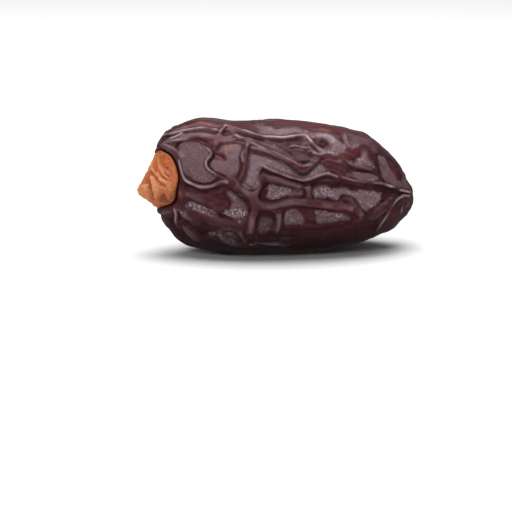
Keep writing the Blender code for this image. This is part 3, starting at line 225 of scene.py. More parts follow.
# Painted light laid over the skin's colour, lowest first: painted shade in dull places, a painted highlight
# on raised places, painted shade in creases, hollows and underneath. Each: the field, how strongly it
# covers, its colour
SKIN_LAYERS = [
    ("matt_and_shade", 0.35, (0.030, 0.0060, 0.0085)),
    ("raised_highlight", 0.08, (0.26, 0.15, 0.16)),
    ("pressed", 0.8, (0.014, 0.003, 0.005)),
    ("cavity_shade", 0.55, (0.014, 0.003, 0.004)),
    ("underside_shade", 1.0, (0.012, 0.003, 0.004)),
]
# How much rougher the skin is in these fields, how strongly it reflects and how its glints are tinted
SKIN_ROUGHER = {"pressed": 0.25, "matt_and_shade": 0.3, "cavity_shade": 0.3, "underside_shade": 0.35}
SKIN_IOR = 1.39
SKIN_GLINT = (1.0, 0.66, 0.73, 1.0)
# Colours of the dried cap, and what is laid over them: darker towards the bottom, a painted highlight on the
# crests, painted shade in the hollows and along the lower edge
HUSK = {
    "orange": (0.42, 0.095, 0.020),
    "tan": (0.56, 0.155, 0.045),
    "freckle": (0.62, 0.21, 0.12),
}
HUSK_LAYERS = [
    ("low", 0.45, (0.30, 0.070, 0.014)),
    ("crest", 0.5, (0.72, 0.31, 0.12)),
    ("hollow", 0.8, (0.20, 0.042, 0.008)),
    ("rim", 0.6, (0.16, 0.040, 0.012)),
]
# How deep light spreads below a surface, in millimetres, and how far from its start a spot may lie
SPREAD_DEPTH = 0.8
SPOT_FARTHEST = 14.0

# The lights: place, the place they aim at, size and watts; then how bright the surround is, and the floor
LIGHTS = {
    "overhead": ((0.0, 0.08, 0.93), (0.0, 0.0, 0.0), 1.0, 14.5),
    "front fill": ((-0.55, -0.8, 0.55), (0.0, 0.0, 0.01), 0.35, 2.5),
}
SURROUND_STRENGTH = 0.15
FLOOR_GREY = 0.86
FLOOR_ROUGHNESS = 0.8
FLOOR_HALF = 4.0

# Raised folds: width in pixels, height in millimetres, then the pixels they run through
RIDGES = {
    "lip": (6, 0.25, [(161, 147.5), (165, 148.5), (169.5, 151.5), (174, 155.8), (178, 161.5), (180, 168)]),
    "lip fold a": (2.6, 0.34, [
        (163, 135), (170.6, 133.9), (180, 131.4), (190, 128.9), (197.5, 127.6), (203, 127.3),
        (212.5, 129.2), (220.6, 130.1),
    ]),
    "lip fold b": (2.6, 0.2, [(166, 139), (174, 137), (181, 133), (185, 131)]),
    "lip fold c": (2.8, 0.2, [
        (162, 143), (166, 142), (173, 140.6), (181, 139.2), (188.5, 138), (194, 135.6), (198, 133),
    ]),
    "lip fold d": (4, 0.06, [(193, 136.5), (200, 135.2), (207, 135), (214, 136.5), (220, 138)]),
    "collar": (3, 0.5, [
        (178.8, 157.5), (180, 163), (181.3, 168), (182.5, 173), (184.8, 178.5), (188.8, 182.7),
        (193.8, 185.6), (200, 187.3), (206.3, 187.7), (211.3, 186.8), (215.6, 184.8), (220, 183),
        (225, 182.4), (230, 183.5),
    ]),
    "panel one rim": (2.2, 0.24, [
        (205, 146.5), (209.5, 150), (211.3, 153), (210, 156.3), (206.8, 158.3), (205.3, 161), (205, 164),
        (206.2, 167.2), (208.8, 170), (212.5, 172.5), (218, 176),
    ]),
    "panel two left rim": (4, 0.15, [(217, 139), (215.5, 145), (214.5, 150), (211.5, 155)]),
    "panel two right rim": (2.4, 0.22, [
        (249.4, 142.8), (245.6, 147), (242.8, 152), (241.9, 157), (243, 160.8),
    ]),
    "shoulder cross fold": (3.4, 0.28, [(226.5, 123.5), (223.8, 126.5), (221.5, 130), (220, 133.5)]),
    "long upper": (3.2, 0.25, [
        (256, 133.6), (263, 135.3), (272, 136.2), (282, 136.2), (292, 135.6), (300, 134.8), (305.5, 134),
        (308.5, 137), (311.5, 141), (316, 145.5), (322, 150), (326, 152.5),
    ]),
    "second upper": (2.6, 0.14, [
        (249, 141.5), (255, 143.8), (260, 146), (265, 148.3), (275, 152.3), (283.8, 156.9), (293.8, 161.5),
        (300, 164.8),
    ]),
    "third upper": (2.4, 0.1, [(262, 138), (270, 140.2), (278.8, 143), (285, 147.5), (291.9, 151.8)]),
    "middle band": (5.2, 0.3, [
        (252.5, 147.3), (261.3, 150), (272.5, 154.2), (282.5, 158.8), (290, 162.8), (295.5, 165.8),
        (300.5, 167.5), (306, 167.5), (310.5, 165.3), (315.5, 161), (320, 157),
    ]),
    "middle band low": (3.6, 0.22, [
        (294, 168), (298.5, 171), (303, 172), (307.5, 170.5), (312.5, 166), (318, 161), (321.5, 158),
    ]),
    "band right": (5.5, 0.22, [
        (320, 162), (326, 160.7), (333, 161.2), (340, 163.6), (346, 167), (350, 171),
    ]),
    "boomerang rim": (2.6, 0.25, [
        (262, 165.3), (266.3, 167.6), (277.5, 172.4), (287.5, 175.7), (296.3, 178.3), (303, 180.3),
        (310.6, 178.8), (318, 176.3), (327.5, 173), (333, 174.8), (340, 177.8),
    ]),
    "upright middle": (4.2, 0.36, [
        (249, 142), (246.5, 147), (245.2, 152), (244.8, 158), (245, 164), (243.5, 170), (241.5, 176),
        (239, 181), (238, 184),
    ]),
    "small crook": (2.6, 0.18, [(288, 146.3), (292.5, 144), (298, 144), (304, 146), (311, 148)]),
    "top swell": (5, 0.16, [
        (274, 131.5), (280, 129.3), (286, 128), (293, 127.6), (299, 128.8), (305, 131.2),
    ]),
    "top spur": (5, 0.2, [(262, 119.5), (265.5, 122.5), (270, 126.5), (276, 129)]),
    "right soft a": (5, 0.09, [
        (309, 133.5), (316, 134), (324, 134.3), (330, 137.3), (335, 142), (338.5, 147),
    ]),
    "bright bend": (3.4, 0.17, [
        (311, 149), (315, 152.5), (320.5, 155), (327, 153), (333, 153.6), (338.5, 155.3),
    ]),
    "right upright": (3.4, 0.12, [(344.5, 131.5), (346, 136), (348, 141), (350.5, 145), (353, 149)]),
    "right hook": (3, 0.13, [(345, 159.5), (350, 163.5), (357, 166), (366, 168), (375, 170)]),
    "far right edge": (3, 0.08, [(380.5, 154), (381.5, 162), (383, 171), (385.5, 179)]),
    "apex upper": (2.8, 0.3, [
        (378, 182.2), (385.8, 184), (392.6, 186.5), (399.5, 189.3), (405.8, 191), (412, 192.3),
    ]),
    "apex lower": (2.4, 0.3, [
        (411, 195.6), (405, 195.6), (400, 197.5), (395, 201.2), (391, 206.3), (388.9, 211.8), (386, 217.5),
        (382, 223), (378, 229), (375, 234),
    ]),
    "apex short": (2.2, 0.2, [(404, 203), (402.5, 210), (401, 217)]),
    "under cap": (2.4, 0.28, [(174.3, 205.3), (175.3, 212), (175.3, 220.7), (176.7, 226), (180, 231)]),
    "lower left a": (7, 0.3, [(178, 207), (184, 211.5), (190, 217), (195, 222.5), (201, 227.5)]),
    "lower left b": (7, 0.3, [(181, 226), (190, 231.5), (196.7, 238), (199, 243)]),
    "lower left c": (6.5, 0.25, [(184, 190), (192, 194), (203, 199), (214, 204), (224, 207)]),
    "lower left d": (6.5, 0.3, [
        (187, 211), (196, 215.3), (205, 218.6), (214, 221.3), (222, 223.8), (232, 226), (245, 227.3),
        (251, 226),
    ]),
    "lower middle": (6, 0.42, [
        (230, 182.5), (237, 186), (240, 187), (248, 193), (253.9, 199.8), (256, 206), (256, 212),
        (253, 217), (251, 225), (250, 231), (248, 238),
    ]),
    "long middle": (5, 0.36, [
        (263, 177.3), (270, 178.3), (278, 180), (286, 182.3), (294, 184.8), (301, 187), (306, 188.6),
    ]),
    "basin rim": (5, 0.4, [
        (262, 181), (258.5, 186), (256, 191), (255, 196), (257, 201.5), (262, 205.5), (268, 207),
        (275, 206.5), (283, 203.8), (291.9, 201.8), (302.5, 202), (312, 203.5), (320, 204.8), (335, 206),
        (350, 207.5), (357, 211),
    ]),
    "basin end": (5.5, 0.4, [(308.2, 184), (309, 190), (309.2, 197), (308, 202)]),
    "wide panel end": (5, 0.34, [(348, 198.5), (353, 203), (357, 207.5), (360.5, 213.5), (364, 220)]),
    "wide panel keel": (5.5, 0.34, [
        (397, 195), (393, 201), (386, 207), (380, 212), (374, 218), (366, 224),
    ]),
    "round rim top": (4.5, 0.3, [(255, 210), (260, 208.5), (266, 208.5), (273, 209), (277, 211)]),
    "round rim right": (5, 0.4, [(277, 209), (278.8, 214), (278.8, 220), (277, 228), (274, 235)]),
    "round rim low": (6, 0.1, [(255, 232), (260, 238), (267, 240), (274, 236)]),
    "lower belly rim": (6, 0.14, [
        (281, 229), (290, 231), (302, 229.5), (312, 229), (320, 229), (330, 227), (342, 225.5), (352, 224),
    ]),
    "lower belly left": (3.6, 0.28, [
        (215.8, 235.4), (224.5, 240.4), (232.6, 245.4), (242, 247.3), (252, 247),
    ]),
    "lower belly middle": (3.6, 0.28, [
        (260.8, 242.3), (269.5, 244.8), (278.3, 245), (285.8, 245.4), (294.5, 243.5),
    ]),
    "lower belly tie": (3.6, 0.22, [(239.5, 230), (240.5, 235), (243.3, 239.8), (245.8, 246)]),
    "upper glint": (2.6, 0.2, [(232, 132.8), (237, 135), (241, 137.3), (247, 138.5)]),
    "stripe low": (2.2, 0.09, [(262, 143.5), (270, 147), (279, 151.5), (287, 156), (296, 161)]),
    "right branch": (3, 0.1, [(352, 149.5), (356, 146), (361, 144)]),
    "apex upper left": (2.6, 0.14, [
        (340, 177.3), (350, 179.3), (357, 180.6), (366, 182.3), (376, 182.6), (382, 182.6),
    ]),
    "apex short b": (2.2, 0.15, [(411, 200), (408.5, 205), (405.5, 209)]),
    "long upper left": (2.2, 0.2, [
        (221, 122.5), (228, 124.8), (237.5, 127.8), (247.5, 131), (256, 133.6), (266, 135.6),
    ]),
}

# Lines pressed in beside the folds, also darkened in the skin's colour as painted shade: width, depth,
# pixels
CREASES = {
    "lip line": (3, 0.2, [(168, 133), (180, 128), (192, 125), (203, 123.5), (213, 124.5)]),
    "lip groove": (2.4, 0.15, [
        (165, 137), (174, 135), (183, 132.5), (195, 130.5), (210, 131.8), (219, 133.5),
    ]),
    "panel one top": (2.6, 0.25, [
        (178.7, 157.5), (177, 153), (175.3, 148.5), (176.3, 143.5), (180.5, 140), (188, 138.6),
        (196, 138.5), (202, 140), (208, 143.8),
    ]),
    "panel two top": (2.6, 0.14, [(230, 139.8), (238, 140.3), (247, 142)]),
    "rim right of one": (2.6, 0.28, [
        (213.5, 150), (213.4, 155), (209.5, 159.5), (207, 163.5), (208.2, 167.5), (212, 170.8),
        (217, 173.3), (222, 175.5), (227, 178.5),
    ]),
    "panel one foot": (2, 0.26, [
        (184, 174.5), (187, 179), (192, 182.3), (198.8, 184), (206, 184.9), (212, 183.2), (216, 180.3),
        (219, 178),
    ]),
    "below collar": (4, 0.2, [
        (183, 181), (189, 187.5), (197, 190.5), (206, 191.3), (214, 190), (222, 187),
    ]),
    "shoulder pocket": (7, 0.42, [(224.5, 128.5), (227, 131.2), (229.5, 134.8)]),
    "under long upper": (2.8, 0.22, [
        (229, 128.8), (237.5, 131.5), (248, 135), (256.3, 137.6), (265, 139), (275, 139.9), (284, 140.2),
        (293, 140), (300, 141), (306, 143.5), (311, 146.5),
    ]),
    "under second": (2.4, 0.18, [(250, 143.3), (260, 147.6), (270, 152), (280, 156.6), (289, 161)]),
    "under middle band": (2.6, 0.22, [
        (252, 150.8), (260, 152.8), (268, 155.6), (277.5, 159.2), (286, 163), (292, 167), (297, 171.5),
        (302, 174.6), (307.5, 173.8), (313, 168.3), (319, 162.5),
    ]),
    "left of upright": (2.4, 0.22, [
        (245, 147), (242.8, 152), (242.3, 157), (243, 162), (242.3, 168), (239.5, 174), (236, 178.8),
    ]),
    "boomerang foot": (2.4, 0.22, [
        (240.5, 184), (242.5, 188), (247, 190.6), (252, 191), (257, 189.8), (261.5, 186),
    ]),
    "boomerang notch": (6, 0.34, [(260.5, 170), (262.5, 171.5), (265, 173)]),
    "under boomerang": (4.2, 0.3, [
        (260.5, 171), (266.9, 172.3), (275, 175.3), (283.8, 178), (293, 181), (300, 183.3), (306.3, 184),
        (311.9, 182.7), (318.8, 179.7), (325, 176.6), (330, 176.4),
    ]),
    "crook shadow": (2.4, 0.08, [(290, 148.8), (297, 148.6), (303, 150.3), (309, 152.3)]),
    "bend diagonal a": (2.4, 0.22, [(309.5, 142.5), (312.5, 145.7), (317, 149.5), (322, 153)]),
    "bend diagonal b": (2.4, 0.2, [(319.5, 161), (324, 159.3), (328, 158.4), (334, 159), (341, 161)]),
    "right hook line": (2.4, 0.22, [
        (342, 161), (347, 164.8), (350.8, 168.6), (355.8, 170.6), (368.3, 171), (377, 172.8),
    ]),
    "far right line": (2.4, 0.25, [
        (378, 152), (378.6, 158), (379.2, 162), (380, 168), (381.4, 174.3), (383.3, 180.5),
    ]),
    "under apex upper": (4.5, 0.25, [
        (362, 184.5), (375, 185.8), (385, 188.3), (393, 191), (400, 193), (408, 194),
    ]),
    "apex notch": (3, 0.22, [(394, 193.6), (402, 194), (409, 194.2)]),
    "under cap line": (4, 0.3, [(169, 214), (170, 221), (174, 229), (181, 235), (188, 239.5)]),
    "right of under cap": (3, 0.2, [(177.5, 209), (178.5, 217), (180, 224)]),
    "under lower belly": (6, 0.15, [(284, 234), (298, 234.5), (312, 233), (328, 232), (344, 230)]),
    "lower left line": (5, 0.25, [(181, 217), (190, 226), (200, 232), (212, 236), (226, 237)]),
    "upper pocket": (7, 0.34, [(284, 143), (292, 141.8), (300, 142), (307, 144.5)]),
    "band pocket": (4, 0.34, [(300, 162.8), (305, 163.5), (310, 162.3), (314, 160)]),
    "band split": (2, 0.14, [(296, 167.3), (301, 169.3), (306, 169.3), (311, 166.3), (316, 161.5)]),
    "bend diagonal c": (2, 0.18, [(312, 141.5), (316.5, 145.5), (321, 148.8), (325, 151)]),
    "upper valley": (6, 0.2, [(240, 123.3), (249, 124.5), (256, 127.3), (262, 131.2)]),
    "two pocket": (3.6, 0.22, [(210.5, 150.5), (215.5, 153), (221, 156), (226.5, 159.8)]),
    "hollow dark": (6.5, 0.26, [(319, 139.8), (324, 141.8), (328.5, 145)]),
}

# Sunken fields: depth, width of the slope at their edge in pixels, outline
PANELS = {
    "one": (0.28, 1.8, [
        (177.5, 142.7), (182, 140.8), (188.8, 140.2), (196, 140.5), (201, 142), (205.5, 145), (209, 148.3),
        (211, 151.8), (209.6, 155.8), (206.5, 157.5), (204.4, 160.2), (203.8, 163.9), (205, 167.6),
        (207.5, 170.8), (211.3, 173.4), (215.6, 175), (217.8, 176.4), (214.6, 178.6), (212.5, 180.9),
        (210, 182.6), (205, 183.3), (198.8, 182), (193, 180), (188.8, 177.6), (185.6, 173.9),
        (183.8, 169.5), (182.5, 165), (181.5, 160), (179.3, 155), (177.3, 150), (176.3, 146),
    ]),
    "two": (0.28, 1.8, [
        (213, 153.5), (216.5, 149), (219, 144.5), (222, 142.4), (231, 141.5), (238, 142), (244, 144),
        (242.5, 148), (240.8, 152), (239.6, 156), (239.6, 160), (240.5, 165), (239.3, 169.5),
        (236.9, 173.3), (233, 176.4), (230, 177.6), (226.3, 176.4), (221.9, 173.9), (217.5, 172),
        (212.5, 170), (209, 167.6), (207.2, 164.5), (207.8, 161.4), (210, 158.3),
    ]),
    "boomerang": (0.28, 1.8, [
        (249.5, 152), (253, 151.8), (258.8, 153.3), (267.5, 155.8), (277.5, 159.5), (285, 162.6),
        (291, 166), (296, 169.8), (299.5, 173.3), (303.5, 174.6), (308, 173), (312, 169), (316, 165.3),
        (320.5, 162), (325.5, 165), (328.8, 170), (327, 172.5), (322, 174.5), (317, 176.3), (311.9, 178),
        (306.3, 179.8), (302.5, 179.9), (298.8, 178), (291.3, 176.2), (283.8, 173.7), (277.5, 171.3),
        (271.3, 168.9), (266.3, 167), (261.9, 166.4), (260, 168.5), (259.5, 172), (260, 176), (260.6, 180),
        (260.5, 183.8), (258.5, 187.2), (254, 189.2), (248.5, 189.6), (243.5, 187.8), (241.2, 185),
        (241.2, 181.5), (243.8, 177), (246, 172), (247, 167), (247.4, 160.8), (248.2, 155),
    ]),
    "striped band": (0.03, 3, [
        (243, 133), (250, 135.5), (258, 138.5), (268, 140.8), (278, 143), (285, 149), (292, 153),
        (295, 158), (293, 160), (284, 153.5), (273, 149), (262, 144.5), (252, 139.5), (245, 136),
    ]),
    "small right": (0.18, 2.5, [
        (289.5, 152), (294, 150.3), (300, 151), (307, 153.5), (312, 156.8), (315.3, 160), (311, 161),
        (307, 160.8), (303, 161.8), (299, 160.3), (294, 157),
    ]),
    "right hollow": (0.15, 8, [
        (315.5, 138.5), (322, 136.5), (328, 139.5), (331.5, 143.5), (331, 147.5), (326, 149), (320.5, 147),
        (316.5, 143),
    ]),
    "right mottled": (0.1, 5, [
        (358, 155), (362, 150.5), (368, 148.5), (373, 152), (376, 157), (377, 164), (376, 168.5),
        (366, 167), (358, 165.5), (352, 163), (355, 159),
    ]),
    "shoulder": (0.2, 5, [
        (188, 127), (196, 122), (206, 121), (218, 123), (221, 127), (212, 127), (203, 125), (195, 126),
    ]),
    "red dip": (0.25, 4, [
        (325, 161), (331, 161.5), (338, 163.5), (346, 168), (352, 172), (353, 175), (346, 175.8),
        (338, 174.3), (331, 171.5), (327, 167.5),
    ]),
    "slot": (0.2, 2, [
        (184.5, 206), (187, 202.8), (192, 202), (197, 204), (203, 206.5), (209, 209), (214, 212),
        (218, 216), (215.5, 217.8), (210, 216), (202, 213.5), (194, 211), (188, 209),
    ]),
    "lower left": (0.35, 3, [
        (223.3, 190.4), (229, 189), (234, 191.6), (242, 199.8), (248.3, 206), (249.5, 211), (247, 216),
        (242, 222.3), (238.5, 223.6), (232.6, 221), (224.5, 218.5), (218, 215.5), (221, 211),
        (226.4, 209.5), (229.5, 203.5), (224.5, 196.6),
    ]),
    "basin": (0.45, 3, [
        (267, 182.6), (277, 183.8), (287, 186.4), (298, 189), (305, 190.8), (307, 194), (304.5, 199),
        (297, 199.8), (290, 199.8), (283, 201.3), (276, 204), (268, 204.8), (261.5, 203), (258.6, 198.5),
        (259, 193), (262.5, 187),
    ]),
    "wide": (0.4, 3, [
        (312, 184.5), (322, 182.5), (335, 183.3), (350, 184.3), (362, 187.5), (375, 190), (388, 192.3),
        (393, 196), (388, 201.7), (380, 207), (373, 212), (366, 215.3), (362.5, 211), (357, 204.5),
        (352.5, 198.5), (348.5, 197), (343, 200), (337, 203), (325, 204), (314, 202.5), (311.5, 198),
        (311, 190),
    ]),
    "round": (0.26, 4, [
        (259, 212.5), (266, 211), (273, 212.5), (276.5, 218), (276, 228), (272, 235), (265, 239),
        (259, 239), (256.3, 230), (256.5, 219),
    ]),
    "lower belly": (0.32, 5, [
        (283, 222), (283.5, 215.5), (287.5, 210), (298, 207.3), (310, 208.3), (325, 210), (342, 212.5),
        (352.5, 217.5), (354, 222), (345, 226), (330, 229), (312, 230.5), (298, 231.5), (288, 231.5),
        (283.5, 228),
    ]),
    "lower right": (0.25, 2.5, [
        (371.5, 221), (375, 215), (381, 211), (388, 208.3), (386, 213.5), (381, 218.5), (375, 222.5),
    ]),
    "left low": (0.25, 3, [
        (222, 233), (232, 231), (238, 235), (242, 243), (238, 244), (229, 241.5), (222, 238),
    ]),
    "patch low": (0.2, 3, [(278, 239.5), (284, 238), (291, 239), (292, 242.5), (284, 243.5), (279, 243)]),
    "under cap": (0.3, 4, [(158.5, 212), (166, 209), (172, 211), (172, 219), (168, 222), (162, 219)]),
    "apex strip": (0.12, 3, [
        (345, 172.5), (352, 170.5), (362, 171.5), (372, 173), (379, 175), (381.5, 180.3), (376, 181.3),
        (366, 180.5), (356, 179), (347, 176.8),
    ]),
    "far right dip": (0.22, 3.5, [
        (388, 157.5), (393, 160), (397.5, 165), (401, 171), (402.3, 178), (400, 181), (396, 174.5),
        (392.5, 167.5), (389.5, 162),
    ]),
}

# Folds and dents of the dried cap, in the same form
CAP_RIDGES = {
    "left rim": (2.6, 0.22, [(158, 153), (155, 160), (151, 168), (147.5, 175)]),
    "lobe rim": (2.6, 0.25, [(143, 182), (140.8, 187), (141, 192), (143.5, 196.5), (147.5, 199.5)]),
    "keel": (3.6, 0.55, [(151, 176), (154, 181), (156.5, 187), (157.5, 193), (156, 200)]),
    "low rim": (3.2, 0.6, [(170, 187), (173, 192), (175, 197), (174, 202)]),
    "low edge": (3, 0.3, [(150, 203), (157, 206), (164, 207), (170, 205)]),
    "facet edge": (2.6, 0.28, [(160, 156), (158.5, 163), (160.5, 169), (165, 175), (170, 181), (173, 186)]),
    "streak one": (2, 0.25, [(152, 168), (156, 174), (160, 178), (166, 182), (171, 184)]),
    "streak two": (2, 0.22, [(156, 164), (158, 171), (160, 176)]),
    "cross fold": (2.4, 0.25, [(158, 185), (163, 188), (168, 188)]),
    "lobe": (6, 0.4, [(144, 184), (144.5, 189), (147, 195)]),
    "mid curl": (2.2, 0.3, [(160, 180), (165, 181.5), (169, 185), (171, 189)]),
    "right slope": (2, 0.22, [(168, 170), (170, 176), (173, 182)]),
}
CAP_CREASES = {
    "hollow": (7, 0.5, [(158, 198), (163, 199.5), (168, 199)]),
    "pinch": (3.6, 0.8, [(148.5, 180), (149.8, 185), (150.5, 191)]),
    "pinch low": (3, 0.4, [(150.5, 191), (152, 196), (154, 201)]),
    "diagonal": (2.2, 0.3, [(150, 171), (154.5, 177), (158.5, 182), (163, 185.5)]),
    "streak groove": (2, 0.25, [(157, 169), (161, 174), (166, 178.5), (171, 181)]),
    "upper dent": (3, 0.15, [(164, 163), (167, 168), (171, 175)]),
    "rim line": (1.8, 0.4, [(169, 189), (171.5, 194), (172.5, 199)]),
    "lobe line": (2.2, 0.3, [(146, 175), (145.5, 180), (147, 185)]),
    "dent a": (1.8, 0.25, [(163, 166), (166, 168.5), (169.5, 168)]),
    "dent b": (1.8, 0.25, [(165, 173), (168, 176), (172, 177)]),
    "slit": (3, 0.42, [(151.8, 181), (150.3, 186), (148.6, 191.5)]),
}

# Coloured places: strength, reach in millimetres, pixels they run through
ORANGE_SPOTS = [
    (0.6, 0.5, [(199, 120.5), (204, 121), (209, 122)]),
    (0.35, 0.35, [(182, 127), (187, 125)]),
    (0.6, 0.3, [(225, 142), (227, 145)]),
    (0.55, 0.3, [(230, 142), (230, 145.5)]),
    (0.45, 0.35, [(180, 193), (181, 196)]),
    (0.35, 0.4, [(322, 127.5), (328, 129.5)]),
]
RED_SPOTS = [
    (1.0, 0.8, [(328, 164), (334, 168), (341, 171)]),
    (0.45, 1.3, [(392, 214), (396, 222)]),
    (0.7, 1.0, [(396, 176), (394, 166)]),
    (0.6, 0.6, [(213, 153), (222, 157)]),
    (0.4, 1.2, [(345, 152), (358, 153)]),
    (0.3, 1.0, [(190, 190), (205, 194), (215, 200), (228, 204)]),
    (0.7, 1.0, [(284, 121.5), (296, 122), (310, 124), (325, 127), (340, 129)]),
    (0.5, 0.8, [(312, 207), (330, 208), (347, 209.5)]),
    (0.4, 0.8, [(185, 126), (195, 123.5), (212, 122.5)]),
]

